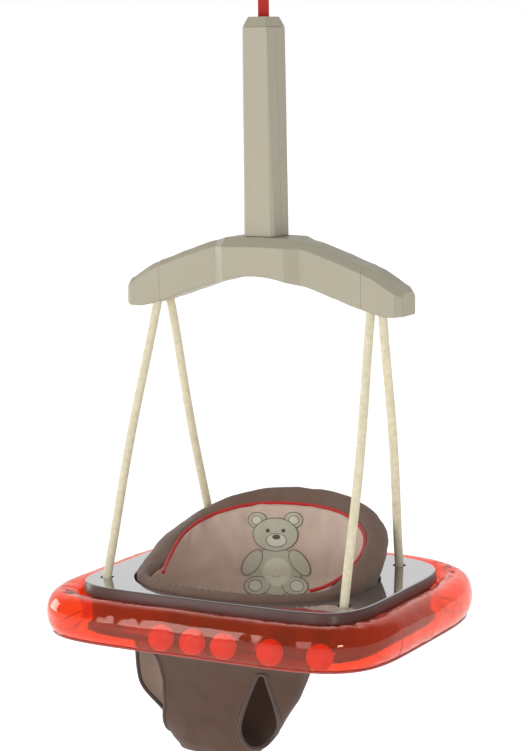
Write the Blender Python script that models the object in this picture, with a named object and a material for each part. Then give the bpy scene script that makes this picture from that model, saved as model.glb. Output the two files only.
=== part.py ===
"""Doorway activity jumper: spring tower, yoke and ropes over a tray with an air ring and a fabric seat.

Frame: metres, +Z up. The origin is the point inside the top of the snap hook that bears on whatever the
jumper hangs from. The front faces -Y and +X is the jumper's right as seen from the front.
Heights are written as a height above the tray's top face and turned into world heights by above_tray().
"""
import math

import bmesh
import bpy
from mathutils import Matrix, Vector

MM = 0.001
GAP = 0.3 * MM                 # clearance between pieces that touch
HANG_HEIGHT = 805 * MM         # bearing point of the hook above the tray's top face

# Tray outline: half width, front and rear edges, corner exponents (higher is squarer)
TRAY_HALF_WIDTH = 189 * MM
TRAY_FRONT = -169 * MM
TRAY_REAR = 138 * MM
TRAY_FRONT_POWER = 6.0
TRAY_REAR_POWER = 4.2
TRAY_SKIRT = 13 * MM
TRAY_PLATE = 3.6 * MM
HOOP_RADIUS = 2.7 * MM
HOOP_SIDES = 6

# Opening in the tray for the seat
OPENING_HALF_WIDTH = 149 * MM
OPENING_FRONT = -158 * MM
OPENING_REAR = 86 * MM
OPENING_POWER = 2.3

# Air ring
RING_HALF_WIDTH = 228 * MM
RING_FRONT = -213 * MM
RING_REAR = 193 * MM
RING_FRONT_POWER = 6.0
RING_REAR_POWER = 3.8
RING_TUBE_HALF_WIDTH = 21 * MM
RING_TUBE_HALF_HEIGHT = 27.5 * MM
RING_CENTRE = -34.5 * MM
RING_SECTION_POWER = 2.3       # a little squarer than an ellipse
RING_WALL = 1.0 * MM
VALVE_RADIUS = 4.6 * MM
VALVE_PLUG_RADIUS = 2.3 * MM
BALL_RADIUS = 16 * MM

# Ropes
ROPE_RADIUS = 5.2 * MM
ROPE_TOP_X = 145 * MM
ROPE_TOP_Y = 15 * MM
ROPE_FRONT_HOLE = (160 * MM, -119 * MM)
ROPE_REAR_HOLE = (130 * MM, 89 * MM)
ROPE_BOW = 3 * MM
TRAY_HOLE_RADIUS = 8.2 * MM
YOKE_SLOT = (6 * MM, 8.4 * MM)  # half width and half length of the slot that each rope leaves by
KNOT_SIDES = 12
# Radius and height of each level of the knots, and the height of the upper knots' lowest level
UPPER_KNOT = ((1 * MM, 0), (4.5 * MM, 0.5 * MM), (6.8 * MM, 4 * MM), (5.5 * MM, 9 * MM), (1 * MM, 11 * MM))
UPPER_KNOT_HEIGHT = 333.5 * MM
LOWER_KNOT = ((1 * MM, 0), (6 * MM, -1 * MM), (9.5 * MM, -5 * MM), (8 * MM, -12 * MM), (1 * MM, -15 * MM))

# Yoke: half length, seam of the end pieces, wall
YOKE_END = 186.5 * MM
YOKE_SEAM = 136.5 * MM
YOKE_DEPTH = 24.6 * MM
YOKE_WALL = 2.5 * MM
YOKE_BLOCK_DEPTH = 36 * MM
YOKE_UNDERSIDE = 324 * MM      # height of the rope exits above the tray
YOKE_SPIGOT = 12 * MM          # how far each end piece reaches into the two long mouldings
SPIGOT_WALL = 2 * MM

# Tower
TOWER_BOTTOM = 407.3 * MM
TOWER_TOP = 652 * MM
TOWER_CAP_TOP = 664 * MM
TOWER_WALL = 2.5 * MM
TOWER_SPIGOT_BOTTOM = 385 * MM
TOWER_SPIGOT_INSET = 4.8 * MM
TOWER_LEDGE = 409 * MM         # top of the ledge that the plunger bottoms on
TOWER_LEDGE_INSET = 6.8 * MM
# Half width, half depth and corner bevel of the tower at its foot and at its head
TOWER_FOOT = (20.8 * MM, 21.0 * MM, 4.0 * MM)
TOWER_HEAD = (16.3 * MM, 22.7 * MM, 0.8 * MM)
CAP_HEAD = (12 * MM, 16.5 * MM, 0.5 * MM)
CAP_SPIGOT = 8 * MM

# Spring and plunger
BOUNCE_TRAVEL = 100 * MM
SPRING_RADIUS = 11 * MM
SPRING_WIRE = 1.3 * MM
SPRING_TURNS = 11
SPRING_SEAT = (8.5 * MM, 12.4 * MM, 2 * MM)   # bore radius, radius and thickness of the washer
PLUNGER_RADIUS = 15.5 * MM
PLUNGER_HEIGHT = 8 * MM

# Strap and hook
STRAP_WIDTH = 13 * MM
STRAP_THICKNESS = 2.2 * MM
HOOK_ROD = 2.75 * MM
HOOK_HALF_WIDTH = 15 * MM
HOOK_BAR_DEPTH = 65 * MM       # the hook's lower bar below the bearing point
HOOK_BEND = 6.5 * MM
HOOK_MOUTH = (-57.5 * MM, -22 * MM)           # the ends of the rod that the gate closes between
GATE_ROD = 2.1 * MM
GATE_PIN = (1.2 * MM, 4 * MM)                 # radius and half length
STRAP_PIN = (2 * MM, 10 * MM)
STRAP_PIN_HEIGHT = 399 * MM
SLIDER_HEIGHT = 706 * MM
SLIDER_HALF = (11 * MM, 2.2 * MM, 7 * MM)

# Seat bag: height, half width, front, rear, sideways sag
BAG_WALL = 3 * MM
BAG_POWERS = (2.4, 2.2)        # how square its outline is in front and behind
BAG_STATIONS = (
    (-26.5 * MM, 143 * MM, -152 * MM, 80 * MM, 0 * MM),
    (-60 * MM, 135 * MM, -140 * MM, 52 * MM, -16 * MM),
    (-100 * MM, 119 * MM, -122 * MM, 10 * MM, -34 * MM),
    (-140 * MM, 106 * MM, -113 * MM, -20 * MM, -37 * MM),
    (-175 * MM, 82 * MM, -109 * MM, -38 * MM, -33 * MM),
    (-198 * MM, 62 * MM, -106 * MM, -48 * MM, -31 * MM),
    (-208 * MM, 53 * MM, -101 * MM, -58 * MM, -30 * MM),
)

# Leg holes: inner starting point, direction through the cloth, and the height and half width of each level
LEFT_LEG = ((-76 * MM, -57 * MM), (-0.745, -0.67),
            ((-64, 10), (-72, 26), (-90, 35), (-115, 34), (-145, 28), (-172, 18), (-190, 8)))
RIGHT_LEG = ((11 * MM, -59 * MM), (0.615, -0.79),
             ((-96, 3), (-110, 7), (-125, 12), (-145, 19), (-165, 26), (-180, 27), (-192, 20), (-198, 9)))

AROUND = 56                    # points round the tray and seat outlines
RING_AROUND = 88               # points round the air ring


def clear_scene():
    for old in list(bpy.data.objects):
        bpy.data.objects.remove(old, do_unlink=True)


def above_tray(height):
    return height - HANG_HEIGHT


def material(name, colour, roughness, metallic=0.0, alpha=1.0):
    found = bpy.data.materials.get(name)
    if found:
        return found
    made = bpy.data.materials.new(name)
    made.use_nodes = True
    made.diffuse_color = (*colour, alpha)
    shader = made.node_tree.nodes["Principled BSDF"]
    shader.inputs["Base Color"].default_value = (*colour, 1.0)
    shader.inputs["Roughness"].default_value = roughness
    shader.inputs["Metallic"].default_value = metallic
    shader.inputs["Alpha"].default_value = alpha
    return made


def housing_plastic():
    return material("housing_plastic", (0.47, 0.42, 0.32), 0.42)


def steel():
    return material("steel", (0.62, 0.62, 0.63), 0.3, 1.0)


def strap_webbing():
    return material("strap_webbing", (0.52, 0.03, 0.02), 0.8)


def rope_braid():
    return material("rope_braid", (0.68, 0.62, 0.42), 0.85)


def tray_plastic():
    return material("tray_plastic", (0.09, 0.075, 0.075), 0.08)


def frame_plastic():
    return material("frame_plastic", (0.05, 0.05, 0.05), 0.5)


def clear_red_vinyl():
    return material("clear_red_vinyl", (0.8, 0.05, 0.02), 0.1, 0.0, 0.5)


def ball_plastic():
    return material("ball_plastic", (0.85, 0.08, 0.03), 0.3)


def seat_fabric():
    return material("seat_fabric", (0.12, 0.08, 0.06), 0.9)


def inner_plastic():
    return material("inner_plastic", (0.3, 0.3, 0.3), 0.5)


def add_mesh(name, points, faces, finish, smooth_angle=35):
    """Makes one named object from points and faces, with its faces pointing out."""
    mesh = bpy.data.meshes.new(name)
    mesh.from_pydata([tuple(point) for point in points], [], faces)
    shell = bmesh.new()
    shell.from_mesh(mesh)
    bmesh.ops.recalc_face_normals(shell, faces=shell.faces)
    shell.to_mesh(mesh)
    shell.free()
    mesh.materials.append(finish)
    mesh.shade_smooth()
    mesh.set_sharp_from_angle(angle=math.radians(smooth_angle))
    made = bpy.data.objects.new(name, mesh)
    bpy.context.scene.collection.objects.link(made)
    return made


def loft(name, loops, finish, closed_path=False):
    """Skins a run of loops with the same number of points, capping both ends unless the path closes."""
    count = len(loops[0])
    points = [point for loop in loops for point in loop]
    spans = len(loops) if closed_path else len(loops) - 1
    faces = []
    for span in range(spans):
        low = span * count
        high = (span + 1) % len(loops) * count
        for index in range(count):
            after = (index + 1) % count
            faces.append((low + index, low + after, high + after, high + index))
    if not closed_path:
        faces.append(tuple(range(count)))
        faces.append(tuple(range((len(loops) - 1) * count, len(loops) * count)))
    return add_mesh(name, points, faces, finish)


def turned(name, profile, finish, centre=(0, 0, 0), axis="Z", sides=24):
    """Turns a closed profile of (radius, along) pairs about an axis; the profile keeps off the axis."""
    turn = {"Z": Matrix.Identity(3), "X": Matrix.Rotation(math.radians(90), 3, "Y"),
            "Y": Matrix.Rotation(math.radians(-90), 3, "X")}[axis]
    loops = []
    for side in range(sides):
        angle = 2 * math.pi * side / sides
        loop = [turn @ Vector((r * math.cos(angle), r * math.sin(angle), along)) for r, along in profile]
        loops.append([point + Vector(centre) for point in loop])
    return loft(name, loops, finish, closed_path=True)


def cylinder(name, radius, start, end, finish, sides=24):
    """Round bar from one point to another."""
    start, end = Vector(start), Vector(end)
    turn = (end - start).to_track_quat("Z", "Y")
    rim = []
    for side in range(sides):
        angle = 2 * math.pi * side / sides
        rim.append(turn @ Vector((radius * math.cos(angle), radius * math.sin(angle), 0)))
    return loft(name, [[start + point for point in rim], [end + point for point in rim]], finish)


def box(name, low, high, finish):
    corners = ((low[0], low[1]), (high[0], low[1]), (high[0], high[1]), (low[0], high[1]))
    loops = [[(x, y, z) for x, y in corners] for z in (low[2], high[2])]
    return loft(name, loops, finish)


def cut(target, cutter, operation="DIFFERENCE"):
    """Adds a Boolean to the target; the cutter stays as a hidden wire guide."""
    step = target.modifiers.new(cutter.name, "BOOLEAN")
    step.operation = operation
    step.solver = "EXACT"
    step.object = cutter
    cutter.hide_render = True
    cutter.display_type = "WIRE"


def tube_along(name, route, radius, finish, sides_level=2):
    """Solid tube of a cord or rod along a list of points."""
    curve = bpy.data.curves.new(name, "CURVE")
    curve.dimensions = "3D"
    curve.bevel_depth = radius
    curve.bevel_resolution = sides_level
    curve.use_fill_caps = True
    spline = curve.splines.new("POLY")
    spline.points.add(len(route) - 1)
    for point, place in zip(spline.points, route):
        point.co = (*place, 1)
    curve.materials.append(finish)
    made = bpy.data.objects.new(name, curve)
    bpy.context.scene.collection.objects.link(made)
    return made


# ---------------------------------------------------------------- outlines

def outline_loop(half_width, front, rear, front_power, rear_power, height, grow=0.0, shift=0.0,
                 count=AROUND):
    """Rounded outline seen from above, as points at one height; grow moves it outwards all round."""
    centre = (front + rear) / 2
    half_x = half_width + grow
    half_y = (rear - front) / 2 + grow
    loop = []
    for step in range(count):
        angle = 2 * math.pi * step / count
        across, along = math.cos(angle), math.sin(angle)
        power = rear_power if along > 0 else front_power
        reach = (abs(across / half_x) ** power + abs(along / half_y) ** power) ** (-1 / power)
        loop.append(Vector((shift + reach * across, centre + reach * along, above_tray(height))))
    return loop


def tray_loop(height, grow=0.0):
    return outline_loop(TRAY_HALF_WIDTH, TRAY_FRONT, TRAY_REAR, TRAY_FRONT_POWER, TRAY_REAR_POWER,
                        height, grow)


def opening_loop(height, grow=0.0):
    return outline_loop(OPENING_HALF_WIDTH, OPENING_FRONT, OPENING_REAR, OPENING_POWER, OPENING_POWER,
                        height, grow)


def ring_centreline():
    return outline_loop(RING_HALF_WIDTH, RING_FRONT, RING_REAR, RING_FRONT_POWER, RING_REAR_POWER,
                        RING_CENTRE, -RING_TUBE_HALF_WIDTH, count=RING_AROUND)


def rotated_loops(loops):
    """Turns a list of outlines into sections: one loop per place along the outline."""
    return [[loop[index] for loop in loops] for index in range(len(loops[0]))]


# ---------------------------------------------------------------- hook and strap

def rounded_path(corners, radius, steps=6):
    """Open path through corners, each inner corner replaced by an arc of the radius."""
    path = [Vector(corners[0])]
    for before, corner, after in zip(corners, corners[1:], corners[2:]):
        corner = Vector(corner)
        back = (Vector(before) - corner).normalized()
        on = (Vector(after) - corner).normalized()
        for step in range(steps + 1):
            share = step / steps
            start, end = corner + back * radius, corner + on * radius
            first = start.lerp(corner, share)
            second = corner.lerp(end, share)
            path.append(first.lerp(second, share))
    path.append(Vector(corners[-1]))
    return path


def make_hook():
    top = HOOK_ROD
    bottom = -HOOK_BAR_DEPTH
    side = HOOK_HALF_WIDTH
    mouth_bottom, mouth_top = HOOK_MOUTH
    arc = []
    steps = 16
    for step in range(steps + 1):
        angle = math.pi * step / steps
        arc.append(Vector((side * math.cos(angle), 0, top - side + side * math.sin(angle))))
    lower = rounded_path([(-side, 0, top - side - 4 * MM), (-side, 0, bottom), (side, 0, bottom),
                          (side, 0, mouth_bottom)], HOOK_BEND)
    tube_along("hook_body", [Vector((side, 0, mouth_top))] + arc + lower, HOOK_ROD, steel())
    pin_height = mouth_bottom + 1.8 * MM
    pin_radius, pin_half = GATE_PIN
    cylinder("gate_pin", pin_radius, (side, -pin_half, pin_height), (side, pin_half, pin_height), steel(), 12)
    tube_along("hook_gate", [Vector((side, 0, pin_height + 1.6 * MM)), Vector((side, 0, mouth_top - GAP))],
               GATE_ROD, steel(), 3)


def make_strap():
    bar_height = -HOOK_BAR_DEPTH
    pin_height = above_tray(STRAP_PIN_HEIGHT)
    pin_radius, pin_half = STRAP_PIN
    half = STRAP_WIDTH / 2
    strap = box("strap", (-half, -STRAP_THICKNESS / 2, pin_height + 3 * MM),
                (half, STRAP_THICKNESS / 2, bar_height - 4 * MM), strap_webbing())
    for label, height, bore in (("strap_top_loop", bar_height, HOOK_ROD + GAP),
                                ("strap_low_loop", pin_height, pin_radius + GAP)):
        outer = bore + STRAP_THICKNESS
        edge = half - GAP
        profile = ((bore, -edge), (outer, -edge), (outer, edge), (bore, edge))
        cut(strap, turned(label, profile, strap_webbing(), (0, 0, height), "X"), "UNION")
    cylinder("strap_pin", pin_radius, (-pin_half, 0, pin_height), (pin_half, 0, pin_height), steel(), 16)
    make_slider()


def make_slider():
    """Adjuster that the webbing is threaded through, just under the hook."""
    height = above_tray(SLIDER_HEIGHT)
    half_x, half_y, half_z = SLIDER_HALF
    slider = box("strap_slider", (-half_x, -half_y, height - half_z), (half_x, half_y, height + half_z),
                 inner_plastic())
    slot_x, slot_y, slot_z = STRAP_WIDTH / 2 + GAP, STRAP_THICKNESS / 2 + GAP, half_z + 2 * MM
    slot = box("strap_slider_slot", (-slot_x, -slot_y, height - slot_z), (slot_x, slot_y, height + slot_z),
               inner_plastic())
    cut(slider, slot)


# ---------------------------------------------------------------- tower

def tower_loop(height, shrink=0.0, bottom=TOWER_BOTTOM):
    """Tapered square section of the tower: narrow in front and deep at the side towards the top."""
    share = max(0.0, min(1.0, (height - bottom) / (TOWER_TOP - bottom)))
    half_x, half_y, bevel = (foot + (head - foot) * share for foot, head in zip(TOWER_FOOT, TOWER_HEAD))
    return bevelled_loop(half_x - shrink, half_y - shrink, bevel, above_tray(height))


def bevelled_loop(half_x, half_y, bevel, height):
    loop = []
    for sign_x, sign_y in ((1, 1), (-1, 1), (-1, -1), (1, -1)):
        along = Vector((sign_x * half_x, sign_y * (half_y - bevel), height))
        across = Vector((sign_x * (half_x - bevel), sign_y * half_y, height))
        loop += [along, across] if sign_x * sign_y > 0 else [across, along]
    return loop


def tower_body(name):
    return loft(name, [tower_loop(TOWER_SPIGOT_BOTTOM, TOWER_SPIGOT_INSET),
                       tower_loop(TOWER_BOTTOM, TOWER_SPIGOT_INSET),
                       tower_loop(TOWER_BOTTOM), tower_loop(TOWER_TOP)], housing_plastic())


def tower_hollow(name):
    beyond = 3 * MM
    return loft(name, [tower_loop(TOWER_SPIGOT_BOTTOM - beyond, TOWER_LEDGE_INSET),
                       tower_loop(TOWER_LEDGE, TOWER_LEDGE_INSET),
                       tower_loop(TOWER_LEDGE, TOWER_WALL), tower_loop(TOWER_TOP + beyond, TOWER_WALL)],
                housing_plastic())


def keep_half(target, name, side):
    """Cuts away the half of a moulding behind or before its middle plane."""
    far = 400 * MM
    near = GAP / 2
    low_y, high_y = (-near, far) if side == "front" else (-far, near)
    half = box(name, (-far, low_y, -1.0), (far, high_y, 0.2), housing_plastic())
    cut(target, half)


def make_tower():
    for side in ("front", "rear"):
        shell = tower_body("tower_" + side)
        cut(shell, tower_hollow("tower_hollow_" + side))
        keep_half(shell, "tower_half_" + side, side)
    cap_spigot = TOWER_WALL + GAP
    cap = loft("tower_cap", [tower_loop(TOWER_TOP - CAP_SPIGOT, cap_spigot),
                             tower_loop(TOWER_TOP + GAP, cap_spigot), tower_loop(TOWER_TOP + GAP),
                             bevelled_loop(*CAP_HEAD, above_tray(TOWER_CAP_TOP))],
               housing_plastic())
    cut(cap, box("tower_cap_slot", (-8 * MM, -3 * MM, above_tray(TOWER_TOP - 20 * MM)),
                 (8 * MM, 3 * MM, above_tray(TOWER_CAP_TOP + 8 * MM)), housing_plastic()))
    make_spring()


def make_spring():
    bore, rim, thickness = SPRING_SEAT
    seat_bottom = TOWER_TOP - CAP_SPIGOT - GAP - thickness
    turned("spring_seat", ((bore, 0), (rim, 0), (rim, thickness), (bore, thickness)), steel(),
           (0, 0, above_tray(seat_bottom)))
    plunger_bottom = TOWER_LEDGE + GAP
    plunger_top = plunger_bottom + PLUNGER_HEIGHT
    plunger = cylinder("plunger", PLUNGER_RADIUS, (0, 0, above_tray(plunger_bottom)),
                       (0, 0, above_tray(plunger_top)), inner_plastic(), 32)
    cut(plunger, box("plunger_slot", (-7 * MM, -1.6 * MM, above_tray(plunger_bottom - 5 * MM)),
                     (7 * MM, 1.6 * MM, above_tray(plunger_top + 5 * MM)), inner_plastic()))
    low = plunger_top + GAP + SPRING_WIRE
    high = seat_bottom - GAP - SPRING_WIRE
    coil = []
    steps = 10
    for step in range(SPRING_TURNS * steps + 1):
        angle = 2 * math.pi * step / steps
        height = low + (high - low) * step / (SPRING_TURNS * steps)
        coil.append(Vector((SPRING_RADIUS * math.cos(angle), SPRING_RADIUS * math.sin(angle),
                            above_tray(height))))
    tube_along("spring", coil, SPRING_WIRE, steel(), 1)


# ---------------------------------------------------------------- yoke

# Distance from the middle, half depth, underside, top and top bevel of the yoke's section
YOKE_STATIONS = (
    (0 * MM, YOKE_BLOCK_DEPTH, 361 * MM, 407 * MM, 11 * MM),
    (42 * MM, YOKE_BLOCK_DEPTH, 355 * MM, 406 * MM, 11 * MM),
    (57 * MM, YOKE_DEPTH, 351 * MM, 402 * MM, 8 * MM),
    (105 * MM, YOKE_DEPTH, 336.5 * MM, 387 * MM, 7 * MM),
    (YOKE_SEAM, YOKE_DEPTH, 326.3 * MM, 375.5 * MM, 7 * MM),
    (150 * MM, YOKE_DEPTH, 322.3 * MM, 369.5 * MM, 7 * MM),
    (164 * MM, YOKE_DEPTH, 318.8 * MM, 361 * MM, 6.5 * MM),
    (179 * MM, YOKE_DEPTH, 318.8 * MM, 352 * MM, 6 * MM),
    (YOKE_END, YOKE_DEPTH - 7.5 * MM, 319.5 * MM, 346.5 * MM, 5 * MM),
)


def yoke_section(distance):
    """Half depth, underside, top and bevel at a distance from the middle, read between the stations."""
    for low, high in zip(YOKE_STATIONS, YOKE_STATIONS[1:]):
        if distance <= high[0] + 1e-9:
            share = max(0.0, (distance - low[0]) / (high[0] - low[0]))
            return [a + (b - a) * share for a, b in zip(low[1:], high[1:])]
    return list(YOKE_STATIONS[-1][1:])


def yoke_loop(x, shrink=0.0):
    depth, under, top, bevel = yoke_section(min(abs(x), YOKE_END))
    depth -= shrink
    under = above_tray(under + shrink)
    top = above_tray(top - shrink)
    edge = 2 * MM
    profile = ((-depth + edge, under), (depth - edge, under), (depth, under + edge), (depth, top - bevel),
               (depth - bevel, top), (-depth + bevel, top), (-depth, top - bevel), (-depth, under + edge))
    return [Vector((x, y, z)) for y, z in profile]


def make_yoke():
    reach = YOKE_SEAM - GAP / 2
    places = [-reach] + [sign * x for sign, run in ((-1, (105, 57, 42)), (1, (0, 42, 57, 105)))
                         for x in (value * MM for value in run)] + [reach]
    for side in ("front", "rear"):
        shell = loft("yoke_" + side, [yoke_loop(x) for x in places], housing_plastic())
        beyond = reach + 5 * MM
        hollow = [yoke_loop(x, YOKE_WALL) for x in [-beyond] + places + [beyond]]
        cut(shell, loft("yoke_hollow_" + side, hollow, housing_plastic()))
        socket = [tower_loop(height, TOWER_SPIGOT_INSET - GAP) for height in (TOWER_SPIGOT_BOTTOM - 5 * MM,
                                                                             TOWER_BOTTOM + 8 * MM)]
        cut(shell, loft("yoke_socket_" + side, socket, housing_plastic()))
        keep_half(shell, "yoke_half_" + side, side)
    for side, sign in (("left", -1), ("right", 1)):
        make_yoke_end(side, sign)


def make_yoke_end(side, sign):
    seam = YOKE_SEAM + GAP / 2
    spigot = YOKE_WALL + GAP
    bends = [station[0] for station in YOKE_STATIONS if YOKE_SEAM < station[0] < YOKE_END]
    body = [yoke_loop(sign * (YOKE_SEAM - YOKE_SPIGOT), spigot), yoke_loop(sign * seam, spigot),
            yoke_loop(sign * seam)]
    body += [yoke_loop(sign * x) for x in bends + [YOKE_END]]
    cap = loft("yoke_end_" + side, body, housing_plastic())
    inside = spigot + SPIGOT_WALL
    step = YOKE_SEAM + 1.5 * MM
    hollow = [yoke_loop(sign * (YOKE_SEAM - YOKE_SPIGOT - 4 * MM), inside), yoke_loop(sign * step, inside)]
    hollow += [yoke_loop(sign * x, YOKE_WALL) for x in [step] + bends + [YOKE_END - YOKE_WALL]]
    cut(cap, loft("yoke_end_hollow_" + side, hollow, housing_plastic()))
    for place, y in (("front", -ROPE_TOP_Y), ("rear", ROPE_TOP_Y)):
        cut(cap, rope_slot("rope_slot_%s_%s" % (place, side), sign * ROPE_TOP_X, y))
        turned("upper_knot_%s_%s" % (place, side), UPPER_KNOT, rope_braid(),
               (sign * ROPE_TOP_X, y, above_tray(UPPER_KNOT_HEIGHT)), "Z", KNOT_SIDES)


def rope_slot(name, x, y):
    """Slot with round ends through the yoke's floor, long enough for the rope to swing fore and aft."""
    half_width, half_length = YOKE_SLOT
    rims = []
    for height in (300 * MM, 333 * MM):
        rim = []
        for side in range(24):
            angle = 2 * math.pi * (side + 0.5) / 24
            reach = math.copysign(half_length - half_width, math.sin(angle))
            rim.append(Vector((x + half_width * math.cos(angle), y + half_width * math.sin(angle) + reach,
                               above_tray(height))))
        rims.append(rim)
    return loft(name, rims, housing_plastic())


# ---------------------------------------------------------------- ropes

def rope_route(sign, hole, y_sign):
    """From the yoke's underside to the knot under the tray, with a slight outward bow."""
    top = Vector((sign * ROPE_TOP_X, y_sign * ROPE_TOP_Y, above_tray(YOKE_UNDERSIDE)))
    through = Vector((sign * hole[0], hole[1], above_tray(0)))
    direction = (through - top).normalized()
    bottom = through + direction * 8 * MM
    outward = Vector((sign, 0, 0))
    route = []
    steps = 18
    for step in range(steps + 1):
        share = step / steps
        bow = ROPE_BOW * math.sin(math.pi * share) ** 2
        route.append(top.lerp(bottom, share) + outward * bow)
    return route


def make_ropes():
    for place, hole, y_sign in (("front", ROPE_FRONT_HOLE, -1), ("rear", ROPE_REAR_HOLE, 1)):
        for side, sign in (("left", -1), ("right", 1)):
            route = rope_route(sign, hole, y_sign)
            tube_along("rope_%s_%s" % (place, side), route, ROPE_RADIUS, rope_braid())
            end = route[-1]
            turned("lower_knot_%s_%s" % (place, side), LOWER_KNOT, rope_braid(),
                   (end.x, end.y, end.z - 2.6 * MM), "Z", KNOT_SIDES)


# ---------------------------------------------------------------- tray

def make_tray():
    loops = [tray_loop(0, -2.4 * MM), tray_loop(-1 * MM, -0.9 * MM), tray_loop(-3.2 * MM, 0),
             tray_loop(-TRAY_SKIRT, 1.5 * MM), tray_loop(-TRAY_SKIRT, -1.2 * MM),
             tray_loop(-TRAY_PLATE, -3 * MM), opening_loop(-TRAY_PLATE, 3 * MM),
             opening_loop(-8 * MM, 3 * MM), opening_loop(-8 * MM, 0), opening_loop(-1.2 * MM, 0),
             opening_loop(0, 1.2 * MM)]
    tray = loft("tray_top", rotated_loops(loops), tray_plastic(), closed_path=True)
    for place, hole in (("front", ROPE_FRONT_HOLE), ("rear", ROPE_REAR_HOLE)):
        for side, sign in (("left", -1), ("right", 1)):
            cutter = cylinder("tray_hole_%s_%s" % (place, side), TRAY_HOLE_RADIUS,
                              (sign * hole[0], hole[1], above_tray(-10 * MM)),
                              (sign * hole[0], hole[1], above_tray(6 * MM)), tray_plastic(), 24)
            cut(tray, cutter)


def make_tray_frame():
    """Ring under the tray: its groove holds the air ring and its inner rim carries the seat hoop."""
    top = -TRAY_SKIRT - GAP
    loops = [tray_loop(top, -1 * MM), tray_loop(top - 2.5 * MM, -1 * MM), tray_loop(top - 2.5 * MM, -6 * MM),
             tray_loop(-56 * MM, -6 * MM), tray_loop(-56 * MM, -1 * MM), tray_loop(-58.5 * MM, -1 * MM),
             tray_loop(-58.5 * MM, -8.5 * MM), tray_loop(top - 3 * MM, -8.5 * MM),
             opening_loop(top - 3 * MM, 2.5 * MM), opening_loop(top, 2.5 * MM)]
    frame = loft("tray_frame", rotated_loops(loops), frame_plastic(), closed_path=True)
    for place, hole in (("front", ROPE_FRONT_HOLE), ("rear", ROPE_REAR_HOLE)):
        for side, sign in (("left", -1), ("right", 1)):
            cutter = cylinder("knot_well_%s_%s" % (place, side), 12 * MM,
                              (sign * hole[0], hole[1], above_tray(-25 * MM)),
                              (sign * hole[0], hole[1], above_tray(-10 * MM)), frame_plastic(), 24)
            cut(frame, cutter)
    hoop = opening_loop(-22.5 * MM, -5 * MM)
    sections = []
    for index, point in enumerate(hoop):
        ahead = hoop[(index + 1) % AROUND] - hoop[index - 1]
        outward = Vector((ahead.y, -ahead.x, 0)).normalized()
        section = []
        for corner in range(HOOP_SIDES):
            angle = 2 * math.pi * corner / HOOP_SIDES
            spoke = outward * math.cos(angle) + Vector((0, 0, math.sin(angle)))
            section.append(point + HOOP_RADIUS * spoke)
        sections.append(section)
    loft("seat_hoop", sections, steel(), closed_path=True)


# ---------------------------------------------------------------- air ring and balls

def ring_sections(half_width, half_height, corners=14):
    line = ring_centreline()
    power = RING_SECTION_POWER
    sections = []
    for index, point in enumerate(line):
        ahead = line[(index + 1) % len(line)] - line[index - 1]
        outward = Vector((ahead.y, -ahead.x, 0)).normalized()
        section = []
        for corner in range(corners):
            angle = 2 * math.pi * corner / corners
            across, up = math.cos(angle), math.sin(angle)
            reach = (abs(across) ** power + abs(up) ** power) ** (-1 / power)
            spoke = outward * half_width * across + Vector((0, 0, half_height * up))
            section.append(point + spoke * reach)
        sections.append(section)
    return sections


def make_valve(ring, y, height):
    """Filling valve in the middle of the rear: a short tube through the ring's wall, with a plug."""
    cut(ring, cylinder("valve_hole", VALVE_RADIUS + 0.4 * MM, (0, y - 6 * MM, height),
                       (0, y + 6 * MM, height), clear_red_vinyl(), 20))
    valve = cylinder("valve_body", VALVE_RADIUS, (0, y - 5 * MM, height), (0, y + 4 * MM, height),
                     clear_red_vinyl(), 20)
    cut(valve, cylinder("valve_bore", VALVE_PLUG_RADIUS + GAP, (0, y - 8 * MM, height),
                        (0, y + 8 * MM, height), clear_red_vinyl(), 16))
    cylinder("valve_plug", VALVE_PLUG_RADIUS, (0, y - 2 * MM, height), (0, y + 6 * MM, height),
             ball_plastic(), 16)


def make_air_ring():
    ring = loft("air_ring", ring_sections(RING_TUBE_HALF_WIDTH, RING_TUBE_HALF_HEIGHT), clear_red_vinyl(),
                closed_path=True)
    cavity = loft("air_ring_cavity", ring_sections(RING_TUBE_HALF_WIDTH - RING_WALL,
                                                   RING_TUBE_HALF_HEIGHT - RING_WALL), clear_red_vinyl(),
                  closed_path=True)
    cut(ring, cavity)
    make_valve(ring, RING_REAR, above_tray(RING_CENTRE))


# Balls in the straight front run: distance from the middle
FRONT_BALLS = (-40 * MM, 2 * MM, 43 * MM, 103 * MM)
BALL_LINE_INSET = 0.6 * MM     # the track lies this far inside the tube's centreline at the middle
# The ball in the front right corner: degrees round the corner, from +X
CORNER_BALL = -72
CORNER_CENTRE = (143.1 * MM, -124.7 * MM)
CORNER_RADIUS = 62.5 * MM
REAR_BALL = -60 * MM           # the ball in the straight rear run


def make_balls():
    front = RING_FRONT + RING_TUBE_HALF_WIDTH + BALL_LINE_INSET
    rear = RING_REAR - RING_TUBE_HALF_WIDTH - BALL_LINE_INSET
    height = above_tray(RING_CENTRE - RING_TUBE_HALF_HEIGHT + RING_WALL + BALL_RADIUS + 1.5 * MM)
    angle = math.radians(CORNER_BALL)
    places = [(x, front) for x in FRONT_BALLS]
    places.append((CORNER_CENTRE[0] + CORNER_RADIUS * math.cos(angle),
                   CORNER_CENTRE[1] + CORNER_RADIUS * math.sin(angle)))
    places.append((REAR_BALL, rear))
    for number, (x, y) in enumerate(places, start=1):
        ball_mesh("ball_%d" % number, (x, y, height))


def ball_mesh(name, centre):
    shape = bmesh.new()
    bmesh.ops.create_icosphere(shape, subdivisions=2, radius=BALL_RADIUS)
    mesh = bpy.data.meshes.new(name)
    shape.to_mesh(mesh)
    shape.free()
    mesh.materials.append(ball_plastic())
    mesh.shade_smooth()
    made = bpy.data.objects.new(name, mesh)
    made.location = centre
    bpy.context.scene.collection.objects.link(made)


# ---------------------------------------------------------------- fabric seat

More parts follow.
